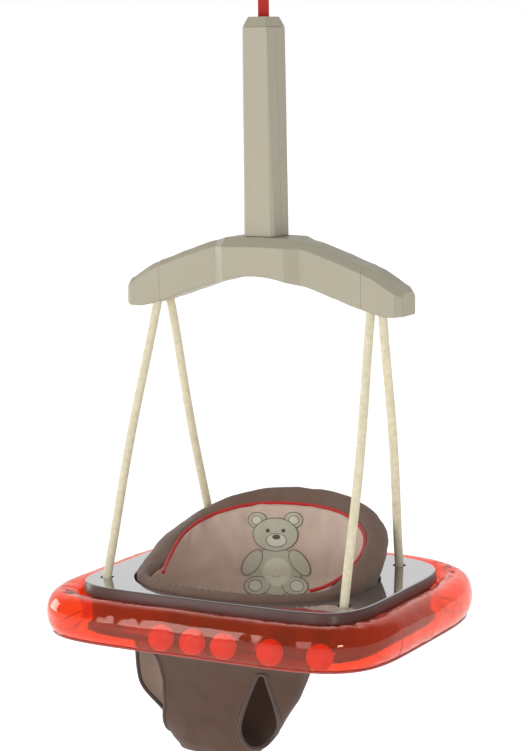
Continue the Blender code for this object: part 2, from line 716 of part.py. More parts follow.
COLLAR_LOW = -18 * MM
COLLAR_FRONT_TOP = 6 * MM
COLLAR_BACK_TOP = 80 * MM
COLLAR_LEAN = 28 * MM
COLLAR_REACH = 116             # degrees from the middle of the back to where the wings end
# Thickness and shoulder height at the front hem and at the middle of the back
COLLAR_THICKNESS = (9 * MM, 21 * MM)
COLLAR_SHOULDER = (2 * MM, 9 * MM)


def back_share(angle):
    """1 at the middle of the back, falling to 0 where the wings end at the front."""
    from_back = abs(math.degrees(angle) - 90)
    from_back = min(from_back, 360 - from_back)
    return 0.5 * (1 + math.cos(math.pi * min(from_back / COLLAR_REACH, 1) ** 1.2))


def make_collar():
    """Padded rim of the seat: high back, wings that fall to a low front hem."""
    sections = []
    outer = opening_loop(0, -3 * MM)
    middle = Vector((0, (OPENING_FRONT + OPENING_REAR) / 2, 0))
    for index in range(AROUND):
        angle = 2 * math.pi * index / AROUND
        rise = back_share(angle)
        base = outer[index].copy()
        outward = Vector((base.x - middle.x, base.y - middle.y, 0)).normalized()
        thick = COLLAR_THICKNESS[0] + (COLLAR_THICKNESS[1] - COLLAR_THICKNESS[0]) * rise
        crest = above_tray(COLLAR_FRONT_TOP + (COLLAR_BACK_TOP - COLLAR_FRONT_TOP) * rise)
        shoulder = COLLAR_SHOULDER[0] + (COLLAR_SHOULDER[1] - COLLAR_SHOULDER[0]) * rise
        low = above_tray(COLLAR_LOW)
        lean = outward * COLLAR_LEAN * rise

        def place(inward, height, leaning):
            spot = base - outward * inward + (lean if leaning else Vector())
            return Vector((spot.x, spot.y, height))

        sections.append([place(0, low, False), place(0, above_tray(1 * MM), False),
                         place(0, crest - shoulder, True), place(thick * 0.35, crest, True),
                         place(thick * 0.75, crest, True), place(thick, crest - shoulder, True),
                         place(thick, above_tray(1 * MM), False), place(thick, low, False)])
    loft("seat_collar", sections, seat_fabric(), closed_path=True)


def bag_loops(inset, top_extra=0.0, low_extra=0.0):
    loops = []
    last = len(BAG_STATIONS) - 1
    for number, (height, half_width, front, rear, sag) in enumerate(BAG_STATIONS):
        if number == 0:
            height += top_extra
        if number == last:
            height += low_extra
        loops.append(outline_loop(half_width, front, rear, *BAG_POWERS, height, -inset, sag))
    return loops


def make_bag():
    bag = loft("seat_bag", bag_loops(0), seat_fabric())
    cut(bag, loft("seat_bag_hollow", bag_loops(BAG_WALL, 6 * MM, BAG_WALL), seat_fabric()))
    for side, leg in (("left", LEFT_LEG), ("right", RIGHT_LEG)):
        cut(bag, leg_cutter("leg_hole_" + side, leg))


def leg_cutter(name, leg):
    """Prism through the cloth, with the leg hole's outline as its section."""
    (x, y), direction, levels = leg
    toward = Vector((*direction, 0)).normalized()
    across = Vector((-toward.y, toward.x, 0))
    rims = []
    for reach in (0, 140 * MM):
        start = Vector((x, y, 0)) + toward * reach
        rim = []
        for side, run in ((1, levels), (-1, reversed(levels))):
            rim += [start + across * side * half * MM + Vector((0, 0, above_tray(height * MM)))
                    for height, half in run]
        rims.append(rim)
    return loft(name, rims, seat_fabric())


# ---------------------------------------------------------------- fasteners

def screw(name, place, toward, head_radius, shank_radius, length):
    """Pan-head screw: head outside at the place, shank running along toward."""
    place, toward = Vector(place), Vector(toward)
    turn = toward.to_track_quat("Z", "Y")
    head = 2.2 * MM
    profile = ((0.5 * MM, -head), (head_radius * 0.8, -head), (head_radius, -head * 0.4), (head_radius, 0),
               (shank_radius, 0), (shank_radius, length), (0.5 * MM, length))
    sides = 10
    loops = []
    for side in range(sides):
        angle = 2 * math.pi * side / sides
        loops.append([place + turn @ Vector((r * math.cos(angle), r * math.sin(angle), along))
                      for r, along in profile])
    loft(name, loops, steel(), closed_path=True)


def make_screws():
    """Screws that close the two mouldings from the rear and hold the frame under the tray."""
    for number, x in enumerate((-90 * MM, -30 * MM, 30 * MM, 90 * MM), start=1):
        depth, under, top, bevel = yoke_section(abs(x))
        height = above_tray((under + top - bevel) / 2)
        bore_yoke_wall(x, depth, height)
        screw("yoke_screw_%d" % number, (x, depth + GAP, height), (0, -1, 0), 3.5 * MM, 1.4 * MM, 9 * MM)
    inset = TRAY_PLATE + GAP
    for side, sign in (("left", -1), ("right", 1)):
        for place, x, y in (("front", 168 * MM, -60 * MM), ("rear", 150 * MM, 50 * MM)):
            name = "frame_screw_%s_%s" % (place, side)
            frame = bpy.data.objects["tray_frame"]
            low = above_tray(-TRAY_SKIRT - GAP - 3 * MM)
            cut(frame, cylinder(name + "_bore", 1.8 * MM, (sign * x, y, low - 4 * MM),
                                (sign * x, y, low + 8 * MM), frame_plastic(), 12))
            length = TRAY_SKIRT + 3 * MM - inset
            screw(name, (sign * x, y, low - GAP), (0, 0, 1), 3.2 * MM, 1.4 * MM, length)


def bore_yoke_wall(x, depth, height):
    rear = bpy.data.objects["yoke_rear"]
    name = "yoke_screw_bore_%d" % round(x / MM)
    cut(rear, cylinder(name, 1.8 * MM, (x, depth - 6 * MM, height), (x, depth + 4 * MM, height),
                       housing_plastic(), 12))


def main():
    clear_scene()
    make_hook()
    make_strap()
    make_tower()
    make_yoke()
    make_ropes()
    make_tray()
    make_tray_frame()
    make_air_ring()
    make_balls()
    make_collar()
    make_bag()
    make_screws()


main()
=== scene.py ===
import math

import bmesh
import bpy
from mathutils import Matrix, Vector, noise
from mathutils.bvhtree import BVHTree


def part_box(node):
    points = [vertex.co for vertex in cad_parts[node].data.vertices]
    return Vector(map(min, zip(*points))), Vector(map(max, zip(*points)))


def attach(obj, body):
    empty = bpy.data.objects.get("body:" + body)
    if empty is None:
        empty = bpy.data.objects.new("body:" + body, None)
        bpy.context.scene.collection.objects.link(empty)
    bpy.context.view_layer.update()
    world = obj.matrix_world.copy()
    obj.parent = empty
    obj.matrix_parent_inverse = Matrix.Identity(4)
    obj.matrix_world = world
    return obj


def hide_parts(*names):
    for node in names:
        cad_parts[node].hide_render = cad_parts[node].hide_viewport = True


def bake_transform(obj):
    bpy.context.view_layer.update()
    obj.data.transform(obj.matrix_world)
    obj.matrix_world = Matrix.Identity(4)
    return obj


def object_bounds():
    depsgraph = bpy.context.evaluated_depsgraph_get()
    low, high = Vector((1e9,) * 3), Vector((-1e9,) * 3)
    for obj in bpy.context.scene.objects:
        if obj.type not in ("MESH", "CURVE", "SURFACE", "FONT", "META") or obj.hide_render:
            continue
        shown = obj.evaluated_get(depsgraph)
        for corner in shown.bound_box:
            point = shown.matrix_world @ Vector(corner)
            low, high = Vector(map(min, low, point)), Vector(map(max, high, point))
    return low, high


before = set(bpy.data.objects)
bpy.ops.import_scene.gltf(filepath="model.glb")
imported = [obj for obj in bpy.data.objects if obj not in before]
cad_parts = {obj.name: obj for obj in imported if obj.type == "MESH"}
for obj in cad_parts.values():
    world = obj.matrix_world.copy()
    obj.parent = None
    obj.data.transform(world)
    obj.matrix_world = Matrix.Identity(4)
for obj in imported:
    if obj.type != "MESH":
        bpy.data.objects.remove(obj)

cad_box = [list(corner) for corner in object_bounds()]

MM = 0.001
AROUND = 48                    # corners of a round section
UP = Vector((0, 0, 1))
SEAT = "seat"
TOWER = "tower"
HANGER = "hanger"

# ---------------------------------------------------------------- sizes read from the frame

def corners(node):
    """Lowest and highest corner of a CAD node's box."""
    return (Vector(corner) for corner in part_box(node))


_, TRAY_HIGH = corners("tray_top")
RING_LOW, RING_HIGH = corners("air_ring")
TRAY_TOP = TRAY_HIGH.z
RING_CENTRE = (RING_LOW.z + RING_HIGH.z) / 2 - TRAY_TOP
RING_HALF_HEIGHT = (RING_HIGH.z - RING_LOW.z) / 2
RING_HALF_TUBE = 21 * MM


def above_tray(height):
    return TRAY_TOP + height


def turns(count):
    """Angles of one full turn in equal steps."""
    return [2 * math.pi * step / count for step in range(count)]


def square_reach(across, along, power):
    """How far a rounded square of half width 1 reaches in a direction; power 2 makes it a circle."""
    return (abs(across) ** power + abs(along) ** power) ** (-1 / power)


class Outline:
    """Rounded outline seen from above: half width, front and rear edges, squareness of front and rear."""

    def __init__(self, half_width, front, rear, front_power, rear_power, shift=0.0):
        self.half_width = half_width
        self.front = front
        self.rear = rear
        self.front_power = front_power
        self.rear_power = rear_power
        self.shift = shift

    def at(self, angle, height=0.0, grow=0.0):
        half_x = self.half_width + grow
        half_y = (self.rear - self.front) / 2 + grow
        across, along = math.cos(angle), math.sin(angle)
        power = self.rear_power if along > 0 else self.front_power
        reach = square_reach(across / half_x, along / half_y, power)
        middle = (self.front + self.rear) / 2
        return Vector((self.shift + reach * across, middle + reach * along, above_tray(height)))

    def loop(self, count, height=0.0, grow=0.0):
        return [self.at(angle, height, grow) for angle in turns(count)]


TRAY = Outline(189 * MM, -169 * MM, 138 * MM, 6.0, 4.2)
OPENING = Outline(149 * MM, -158 * MM, 86 * MM, 2.3, 2.3)
RING = Outline(228 * MM, -213 * MM, 193 * MM, 6.0, 3.8)


# ---------------------------------------------------------------- mesh helpers

def finish_mesh(name, mesh, finish, smooth_angle=40):
    for item in finish if isinstance(finish, (list, tuple)) else [finish]:
        mesh.materials.append(item)
    mesh.shade_smooth()
    mesh.set_sharp_from_angle(angle=math.radians(smooth_angle))
    made = bpy.data.objects.new(name, mesh)
    bpy.context.scene.collection.objects.link(made)
    return made


def running_lengths(points, closed):
    total = [0.0]
    for before, after in zip(points, points[1:] + points[:1] if closed else points[1:]):
        total.append(total[-1] + (after - before).length)
    return total


def skin(name, rows, finish, around=True, closed=False, caps=False, smooth_angle=40):
    """Mesh over rows of points, with a UV map in metres: U along a row, V from row to row."""
    count = len(rows[0])
    mesh = bpy.data.meshes.new(name)
    shape = bmesh.new()
    grid = [[shape.verts.new(point) for point in row] for row in rows]
    layer = shape.loops.layers.uv.new("metres")
    middle = rows[len(rows) // 2]
    along = running_lengths(middle, around)
    up = running_lengths([row[0] for row in rows], closed)
    spans = len(rows) if closed else len(rows) - 1
    steps = count if around else count - 1
    for span in range(spans):
        low, high = grid[span], grid[(span + 1) % len(rows)]
        for step in range(steps):
            after = (step + 1) % count
            face = shape.faces.new((low[step], low[after], high[after], high[step]))
            places = ((along[step], up[span]), (along[step + 1], up[span]),
                      (along[step + 1], up[span + 1]), (along[step], up[span + 1]))
            for corner, place in zip(face.loops, places):
                corner[layer].uv = place
    for row in {True: (grid[0], grid[-1]), "last": (grid[-1],)}.get(caps, ()):
        shape.faces.new(row)
    bmesh.ops.recalc_face_normals(shape, faces=shape.faces)
    shape.to_mesh(mesh)
    shape.free()
    return finish_mesh(name, mesh, finish, smooth_angle)


def on_seat(piece):
    """Puts a sewn piece that stands for no CAD node on the seat."""
    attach(piece, SEAT)


def stand_for(piece, node, body):
    """Puts a piece in the place of a CAD node."""
    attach(piece, body)
    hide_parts(node)


def even_faces(piece):
    """Adds normals that keep large faces flat, then applies every modifier."""
    weighted = piece.modifiers.new("faces", "WEIGHTED_NORMAL")
    weighted.keep_sharp = True
    apply_modifiers(piece)


def thicken(piece, name, thickness):
    """Adds a wall on the inner side of an open surface, and returns the modifier."""
    wall = piece.modifiers.new(name, "SOLIDIFY")
    wall.thickness = thickness
    wall.offset = -1
    return wall


def apply_modifiers(piece):
    """Replaces a piece's mesh by what its modifiers make of it."""
    graph = bpy.context.evaluated_depsgraph_get()
    made = bpy.data.meshes.new_from_object(piece.evaluated_get(graph))
    piece.modifiers.clear()
    piece.data = made


def subtract(piece, cutter):
    step = piece.modifiers.new("cut", "BOOLEAN")
    step.operation = "DIFFERENCE"
    step.solver = "EXACT"
    step.object = cutter
    apply_modifiers(piece)
    bpy.data.objects.remove(cutter)


def bar(name, radius, start, end, finish, sides=AROUND):
    """Round bar between two points."""
    start, end = Vector(start), Vector(end)
    turn = (end - start).to_track_quat("Z", "Y")
    rim = [turn @ Vector((radius * math.cos(angle), radius * math.sin(angle), 0)) for angle in turns(sides)]
    return skin(name, [[start + point for point in rim], [end + point for point in rim]], finish, caps=True)


def catmull_rom(p0, p1, p2, p3, share):
    """Value between p1 and p2 on a smooth curve through all four, of numbers or vectors."""
    return 0.5 * ((2 * p1) + (p2 - p0) * share + (2 * p0 - 5 * p1 + 4 * p2 - p3) * share * share
                  + (3 * p1 - p0 - 3 * p2 + p3) * share * share * share)


def blended(items, index, share):
    """Numbers between the rows index and index + 1 of a table, on smooth curves."""
    last = len(items) - 1
    rows = [items[min(max(index + offset, 0), last)] for offset in (-1, 0, 1, 2)]
    return [catmull_rom(*values, share) for values in zip(*rows)]


def smooth_curve(points, steps, closed=False):
    """Catmull-Rom curve through the points."""
    count = len(points)
    curve = []
    for span in range(count if closed else count - 1):
        near = [span + offset for offset in (-1, 0, 1, 2)]
        if closed:
            near = [index % count for index in near]
        else:
            near = [min(max(index, 0), count - 1) for index in near]
        ends = [points[index] for index in near]
        curve += [catmull_rom(*ends, step / steps) for step in range(steps)]
    if not closed:
        curve.append(points[-1].copy())
    return curve


def frames_along(path, closed=False, hint=(0, 0, 1)):
    """Sideways and upward unit vectors at each point of a path, turned as little as possible."""
    count = len(path)
    result = []
    up = Vector(hint)
    for index, point in enumerate(path):
        if closed:
            ahead = path[(index + 1) % count] - path[index - 1]
        else:
            ahead = path[min(index + 1, count - 1)] - path[max(index - 1, 0)]
        ahead.normalize()
        up = (up - ahead * up.dot(ahead)).normalized()
        result.append((ahead.cross(up), up.copy(), ahead))
    return result


def tube(name, path, radius, finish, sides=16, closed=False, relief=None, hint=(0, 0, 1)):
    """Tube along a path; relief gives what is added to its radius, by angle and distance along."""
    rows = []
    lengths = running_lengths(path, closed)
    for index, (point, (side, up, _)) in enumerate(zip(path, frames_along(path, closed, hint))):
        row = []
        for angle in turns(sides):
            reach = radius + (relief(angle, lengths[index]) if relief else 0.0)
            row.append(point + side * (reach * math.cos(angle)) + up * (reach * math.sin(angle)))
        rows.append(row)
    return skin(name, rows, finish, closed=closed, caps=not closed, smooth_angle=60)


def smoothstep(low, high, value):
    share = max(0.0, min(1.0, (value - low) / (high - low)))
    return share * share * (3 - 2 * share)


def hump(value, middle, width):
    """Bell curve: 1 at the middle, near 0 at twice the width."""
    return math.exp(-((value - middle) / width) ** 2)


def crease(length, spacing, shift, power):
    """1 in the narrow creases of gathered film or cloth, 0 on the crests between them."""
    return 1 - abs(math.sin(length * math.pi / spacing + shift)) ** power


def ripple(place, scale, seed=0.0):
    """Smooth noise between about -1 and 1."""
    return noise.noise(Vector((place.x, place.y, place.z)) / scale + Vector((seed, seed, seed)))


# ---------------------------------------------------------------- materials

def linear(red, green, blue):
    """Display values from 0 to 255 as the linear colour that a shader takes."""
    return tuple((value / 255) ** 2.2 for value in (red, green, blue))


class Nodes:
    """Adds nodes to a node tree."""

    def __init__(self, tree):
        self.tree = tree

    def node(self, kind, values=(), **settings):
        made = self.tree.nodes.new(kind)
        for key, value in settings.items():
            setattr(made, key, value)
        for key, value in dict(values).items():
            if isinstance(value, bpy.types.NodeSocket):
                self.tree.links.new(value, made.inputs[key])
            else:
                made.inputs[key].default_value = value
        return made

    def place(self, source="Object"):
        return self.node("ShaderNodeTexCoord").outputs[source]

    def maths(self, operation, first, second):
        return self.node("ShaderNodeMath", {0: first, 1: second}, operation=operation).outputs[0]

    def spread(self, value, low, high, low_out=0.0, high_out=1.0, **settings):
        made = self.node("ShaderNodeMapRange", {"Value": value, "From Min": low, "From Max": high,
                                                "To Min": low_out, "To Max": high_out}, **settings)
        return made.outputs["Result"]


class Finish(Nodes):
    """Node material built round one Principled shader."""

    def __init__(self, name, colour, roughness, **values):
        self.material = bpy.data.materials.new(name)
        self.material.use_nodes = True
        super().__init__(self.material.node_tree)
        self.shader = self.tree.nodes["Principled BSDF"]
        self.set("Base Color", (*colour, 1.0))
        self.set("Roughness", roughness)
        for key, value in values.items():
            self.set(key.replace("_", " ").title(), value)
        self.colour = colour
        self.bumps = None

    def set(self, socket, value):
        names = {"Ior": "IOR", "Coat Ior": "Coat IOR", "Specular Ior Level": "Specular IOR Level"}
        self.shader.inputs[names.get(socket, socket)].default_value = value

    def stretched(self, scale):
        return self.node("ShaderNodeMapping", {"Vector": self.place(), "Scale": scale}).outputs["Vector"]

    def noise(self, scale, detail, source=None):
        values = {"Vector": source or self.place(), "Scale": scale, "Detail": detail, "Roughness": 0.5}
        return self.node("ShaderNodeTexNoise", values).outputs["Fac"]

    def waves(self, scale, source, direction):
        values = {"Vector": source, "Scale": scale, "Distortion": 0.0}
        return self.node("ShaderNodeTexWave", values, wave_type="BANDS",
                         bands_direction=direction).outputs["Fac"]

    def tint(self, share, colour):
        """Blends the colour in where share is high."""
        made = self.node("ShaderNodeMix", data_type="RGBA")
        self.tree.links.new(share, made.inputs["Factor"])
        for socket, value in zip(("A", "B"), (self.colour, colour)):
            target = next(item for item in made.inputs if item.name == socket and item.type == "RGBA")
            if isinstance(value, bpy.types.NodeSocket):
                self.tree.links.new(value, target)
            else:
                target.default_value = (*value, 1.0)
        result = next(item for item in made.outputs if item.type == "RGBA")
        self.tree.links.new(result, self.shader.inputs["Base Color"])
        self.colour = result

    def mottle(self, scale, detail, low, high, most, colour):
        """Blends the colour in, by at most the given share, where noise lies between low and high."""
        self.tint(self.spread(self.noise(scale, detail), low, high, 0.0, most), colour)

    def roughen(self, value):
        self.tree.links.new(value, self.shader.inputs["Roughness"])

    def bump(self, height, distance, strength):
        values = {"Height": height, "Distance": distance, "Strength": strength}
        if self.bumps:
            values["Normal"] = self.bumps
        self.bumps = self.node("ShaderNodeBump", values).outputs["Normal"]
        self.tree.links.new(self.bumps, self.shader.inputs["Normal"])

    def grain(self, scale, detail, distance, strength):
        """Bump from noise."""
        self.bump(self.noise(scale, detail), distance * MM, strength)


WEAVE_SCALE = 0.1              # scale of a wave texture, times the width of a thread


def fabric(name, colour, pale, thread=0.55 * MM, sheen=0.25):
    """Woven cotton: plain weave from the UV map, soft mottling, and a fine nap."""
    made = Finish(name, colour, 0.9, sheen_weight=sheen, sheen_roughness=0.5)
    flat = made.place("UV")
    scale = WEAVE_SCALE / thread
    across = made.waves(scale, flat, "X")
    along = made.waves(scale, flat, "Y")
    weave = made.maths("MULTIPLY", across, along)
    blotch = made.spread(made.noise(38, 4), 0.35, 0.7)
    made.tint(made.maths("MULTIPLY", blotch, 0.5), pale)
    made.tint(made.spread(weave, 0.0, 1.0, 0.0, 0.25), pale)
    made.bump(weave, 0.12 * MM, 0.5)
    made.grain(900, 2, 0.15, 0.5)
    return made.material


def housing_plastic():
    made = Finish("moulded_grey_plastic", linear(164, 158, 139), 0.42, specular_ior_level=0.3)
    made.mottle(7, 2, 0.3, 0.7, 0.35, linear(157, 151, 132))
    made.roughen(made.spread(made.noise(60, 3), 0.3, 0.7, 0.38, 0.48))
    made.grain(2600, 2, 0.03, 0.35)
    return made.material


def steel():
    """Bright drawn wire, with fine scratches along Z."""
    made = Finish("bright_steel", (0.6, 0.6, 0.61), 0.28, metallic=1.0)
    scratch = made.noise(1.0, 3, made.stretched((900, 900, 60)))
    made.roughen(made.spread(scratch, 0.3, 0.7, 0.22, 0.38))
    made.bump(scratch, 0.02 * MM, 0.4)
    return made.material


def rope_cotton():
    made = Finish("rope_yarn", linear(226, 218, 190), 0.85, sheen_weight=0.2, sheen_roughness=0.4)
    made.mottle(160, 3, 0.35, 0.65, 0.6, linear(204, 193, 158))
    made.bump(made.noise(1.0, 2, made.stretched((2400, 2400, 700))), 0.15 * MM, 0.6)
    return made.material


def strap_webbing():
    made = Finish("red_webbing", linear(186, 38, 26), 0.75, sheen_weight=0.25, sheen_roughness=0.4)
    flat = made.place("UV")
    ribs = made.waves(120, flat, "Y")
    made.tint(made.spread(ribs, 0.0, 1.0, 0.0, 0.4), linear(140, 22, 18))
    made.bump(ribs, 0.25 * MM, 0.7)
    made.grain(1500, 2, 0.1, 0.5)
    return made.material


def tray_gloss():
    """Piano-gloss top of the tray."""
    made = Finish("glossy_tray_plastic", linear(72, 66, 68), 0.04, ior=2.1, coat_weight=1.0, coat_ior=2.1,
                  coat_roughness=0.02)
    made.mottle(5, 2, 0.3, 0.7, 0.4, linear(78, 72, 72))
    made.roughen(made.spread(made.noise(320, 4), 0.5, 0.75, 0.04, 0.08))
    made.grain(9, 1, 0.2, 0.12)
    return made.material


def weld_vinyl():
    made = Finish("welded_vinyl_edge", (0.62, 0.16, 0.14), 0.3, transmission_weight=0.3, ior=1.45)
    made.mottle(40, 2, 0.35, 0.7, 0.5, (0.5, 0.2, 0.18))
    made.bump(made.waves(90, made.place("UV"), "X"), 0.15 * MM, 0.5)
    return made.material


def ball_plastic():
    made = Finish("ball_plastic", linear(255, 92, 42), 0.45, subsurface_weight=0.2, specular_ior_level=0.3)
    made.shader.inputs["Subsurface Radius"].default_value = (0.01, 0.004, 0.003)
    made.mottle(30, 2, 0.3, 0.7, 0.3, linear(246, 72, 40))
    made.grain(220, 2, 0.1, 0.2)
    return made.material


def plain(name, colour, roughness, mottle, grain, **values):
    """Finish with soft mottling and a fine grain."""
    made = Finish(name, colour, roughness, **values)
    made.mottle(*mottle)
    made.grain(*grain)
    return made.material


def thread(name, colour):
    darker = tuple(value * 0.7 for value in colour)
    return plain(name, colour, 0.7, (700, 2, 0.4, 0.6, 0.4, darker), (2500, 2, 0.08, 0.5), sheen_weight=0.3)


HOUSING = housing_plastic()
STEEL = steel()
ROPE = rope_cotton()
WEBBING = strap_webbing()
TRAY_GLOSS = tray_gloss()
TRAY_EDGE = plain("satin_tray_edge", linear(97, 79, 74), 0.3, (6, 2, 0.3, 0.7, 0.5, linear(89, 73, 68)),
                  (1500, 2, 0.02, 0.3), specular_ior_level=0.25)
FRAME_DARK = plain("dark_frame_plastic", linear(52, 47, 47), 0.5, (12, 3, 0.3, 0.7, 0.4, linear(62, 56, 55)),
                   (1800, 2, 0.06, 0.5))
# Clear red film with a little haze in it, in the rippled gloss of blown vinyl
VINYL = plain("clear_red_vinyl", (0.97, 0.18, 0.045), 0.06, (9, 2, 0.35, 0.7, 0.5, (0.97, 0.23, 0.07)),
              (26, 2, 0.5, 0.25), transmission_weight=0.94, ior=1.4, specular_ior_level=0.4)
WELD = weld_vinyl()
BALL = ball_plastic()
INNER = plain("grey_inner_plastic", (0.28, 0.28, 0.28), 0.45, (20, 2, 0.3, 0.7, 0.4, (0.34, 0.34, 0.34)),
              (1600, 2, 0.05, 0.5))
BROWN = fabric("brown_brushed_cotton", linear(108, 85, 73), linear(121, 98, 85), sheen=0.15)
BAG_BROWN = fabric("brown_bag_cotton", linear(80, 60, 48), linear(92, 70, 57), sheen=0.1)
LINING = fabric("taupe_lining_cotton", linear(198, 175, 160), linear(211, 191, 177), sheen=0.1)
BINDING = fabric("dark_brown_binding", linear(74, 58, 54), linear(92, 76, 70), thread=0.4 * MM)
PIPING = fabric("red_piping_cloth", linear(178, 32, 30), linear(196, 54, 46), thread=0.35 * MM)
MOTIF = fabric("pale_applique_felt", linear(180, 178, 158), linear(194, 192, 174), thread=0.4 * MM, sheen=0.4)
MOTIF_PALE = fabric("cream_applique_felt", linear(204, 200, 180), linear(216, 212, 194), thread=0.4 * MM,
                    sheen=0.4)
DARK_THREAD = thread("dark_thread", linear(96, 84, 74))
BROWN_THREAD = thread("brown_thread", linear(122, 102, 90))


# ---------------------------------------------------------------- camera, floor and lights

VIEW_AZIMUTH = 0.506           # radians round from the front, towards +X
VIEW_DISTANCE = 2.58
VIEW_HEIGHT = 0.613            # above the tray
LOOK_AZIMUTH = 0.509
LOOK_DOWN = 0.144
LOOK_ROLL = -0.014
LENS_MM = 69.37
SENSOR_HEIGHT_MM = 24.0


def heading(azimuth, down):
    """Rearward direction, turned by an azimuth and dipped by an angle."""
    return Vector((-math.sin(azimuth) * math.cos(down), math.cos(azimuth) * math.cos(down), -math.sin(down)))


def make_camera():
    data = bpy.data.cameras.new("view")
    data.sensor_fit = "VERTICAL"
    data.sensor_height = SENSOR_HEIGHT_MM
    data.lens = LENS_MM
    camera = bpy.data.objects.new("view", data)
    bpy.context.scene.collection.objects.link(camera)
    ahead = heading(LOOK_AZIMUTH, LOOK_DOWN)
    right = Vector((math.cos(LOOK_AZIMUTH), math.sin(LOOK_AZIMUTH), 0))
    up = right.cross(ahead)
    turned_right = right * math.cos(LOOK_ROLL) + up * math.sin(LOOK_ROLL)
    turned_up = up * math.cos(LOOK_ROLL) - right * math.sin(LOOK_ROLL)
    axes = Matrix((turned_right, turned_up, -ahead)).transposed()
    camera.matrix_world = axes.to_4x4()
    camera.location = (VIEW_DISTANCE * math.sin(VIEW_AZIMUTH), -VIEW_DISTANCE * math.cos(VIEW_AZIMUTH),
                       above_tray(VIEW_HEIGHT))
    bpy.context.scene.camera = camera


def soft_box(name, place, width, height, radiance):
    """Rectangular light that faces the middle of the jumper."""
    data = bpy.data.lights.new(name, "AREA")
    data.shape = "RECTANGLE"
    data.size = width
    data.size_y = height
    data.energy = radiance * math.pi * width * height
    lamp = bpy.data.objects.new(name, data)
    bpy.context.scene.collection.objects.link(lamp)
    lamp.location = place
    aim = Vector((0, 0, above_tray(0.1)))
    lamp.rotation_euler = (aim - Vector(place)).to_track_quat("-Z", "Y").to_euler()


def room_reflection(nodes, ray):
    """1 for reflected rays that head for the front side of the room, 0 for all others."""
    rearward = (-math.sin(VIEW_AZIMUTH), math.cos(VIEW_AZIMUTH), 0)
    share = nodes.node("ShaderNodeVectorMath", {0: nodes.place("Generated"), 1: rearward},
                       operation="DOT_PRODUCT").outputs["Value"]
    near_side = nodes.spread(share, *ROOM_EDGE, interpolation_type="SMOOTHSTEP")
    reflected = nodes.maths("SUBTRACT", ray.outputs["Is Glossy Ray"], ray.outputs["Is Transmission Ray"])
    return nodes.maths("MULTIPLY", nodes.maths("MAXIMUM", reflected, 0.0), near_side)


FILL_LEVEL = 0.62              # soft light from all round
BACKDROP_LEVEL = 1.0           # the backdrop itself, seen directly or through the film
ROOM_LEVEL = 0.22              # the front side of the room, seen only in reflections
ROOM_EDGE = (0.75, 0.3)        # rearward share of a ray's direction, where the room starts and is full
FLOOR_BELOW = 0.3              # under the hanging seat
FLOOR_ENDS = (-30.0, 30.0)
# Soft boxes: place, width, height and radiance
SOFT_BOXES = {
    "tall_box": ((-1.45, -2.55, above_tray(0.55)), 0.5, 1.5, 5.5),
    "front_box": ((-0.05, -2.9, above_tray(0.45)), 0.7, 1.2, 3.2),
    "left_box": ((-2.6, -0.1, above_tray(0.35)), 0.9, 1.1, 5.5),
    "lamp_by_camera": ((1.9, -2.1, above_tray(0.35)), 0.4, 0.22, 24.0),
}


def make_studio():
    scene = bpy.context.scene
    scene.view_settings.view_transform = "Standard"
    world = bpy.data.worlds.new("studio")
    world.use_nodes = True
    nodes = Nodes(world.node_tree)
    back = nodes.tree.nodes["Background"]
    back.inputs["Color"].default_value = (1, 1, 1, 1)
    ray = nodes.node("ShaderNodeLightPath")
    level = nodes.spread(room_reflection(nodes, ray), 0.0, 1.0, BACKDROP_LEVEL, ROOM_LEVEL)
    level = nodes.spread(ray.outputs["Is Diffuse Ray"], 0.0, 1.0, level, FILL_LEVEL)
    nodes.tree.links.new(level, back.inputs["Strength"])
    scene.world = world
    for name, (place, width, height, radiance) in SOFT_BOXES.items():
        soft_box(name, place, width, height, radiance)
    finish = Finish("pale_floor", (0.97, 0.97, 0.97), 0.9, emission_strength=0.5)
    finish.set("Emission Color", (1, 1, 1, 1))
    finish.mottle(0.8, 2, 0.3, 0.7, 0.3, (0.96, 0.96, 0.96))
    height = cad_box[0][2] - FLOOR_BELOW
    floor = skin("floor", [[Vector((x, y, height)) for x in FLOOR_ENDS] for y in FLOOR_ENDS],
                 finish.material, around=False)


# ---------------------------------------------------------------- ropes

ROPE_DIAMETER = 10.4 * MM
ROPE_RADIUS = ROPE_DIAMETER / 2
ROPE_TOP_X = 145 * MM
ROPE_TOP_Y = 15 * MM
ROPE_FRONT_HOLE = (160 * MM, -119 * MM)
ROPE_REAR_HOLE = (130 * MM, 89 * MM)
ROPE_BELOW_TRAY = 8 * MM
ROPE_BOW = 3 * MM
ROPE_STEPS = 18
YOKE_UNDERSIDE = 324 * MM
ROPE_INTO_YOKE = 11 * MM
BRAID_STRANDS = 12
BRAID_PITCH = 30 * MM
BRAID_RELIEF = 0.7 * MM
KNOT_CORD = 0.42               # radius of the cord in a knot, as a share of the knot's radius


def rope_route(sign, hole, y_sign):
    """The CAD rope's own points: from the yoke's underside to the knot under the tray, bowed outwards."""
    top = Vector((sign * ROPE_TOP_X, y_sign * ROPE_TOP_Y, above_tray(YOKE_UNDERSIDE)))
    through = Vector((sign * hole[0], hole[1], above_tray(0)))
    bottom = through + (through - top).normalized() * ROPE_BELOW_TRAY
    outward = Vector((sign, 0, 0))
    shares = [step / ROPE_STEPS for step in range(ROPE_STEPS + 1)]
    return [top.lerp(bottom, share) + outward * ROPE_BOW * math.sin(math.pi * share) ** 2 for share in shares]


def braid(angle, along):
    """Height of a braid's surface: two families of strands that pass over and under each other."""
    first = BRAID_STRANDS * (angle / (2 * math.pi) + along / BRAID_PITCH)
    second = BRAID_STRANDS * (angle / (2 * math.pi) - along / BRAID_PITCH)
    over = (math.floor(first) + math.floor(second)) % 2 == 0
    across, length = (first % 1, second % 1) if over else (second % 1, first % 1)
    return BRAID_RELIEF * (0.7 * math.sin(math.pi * across) ** 0.7 + 0.5 * math.sin(math.pi * length) - 0.8)


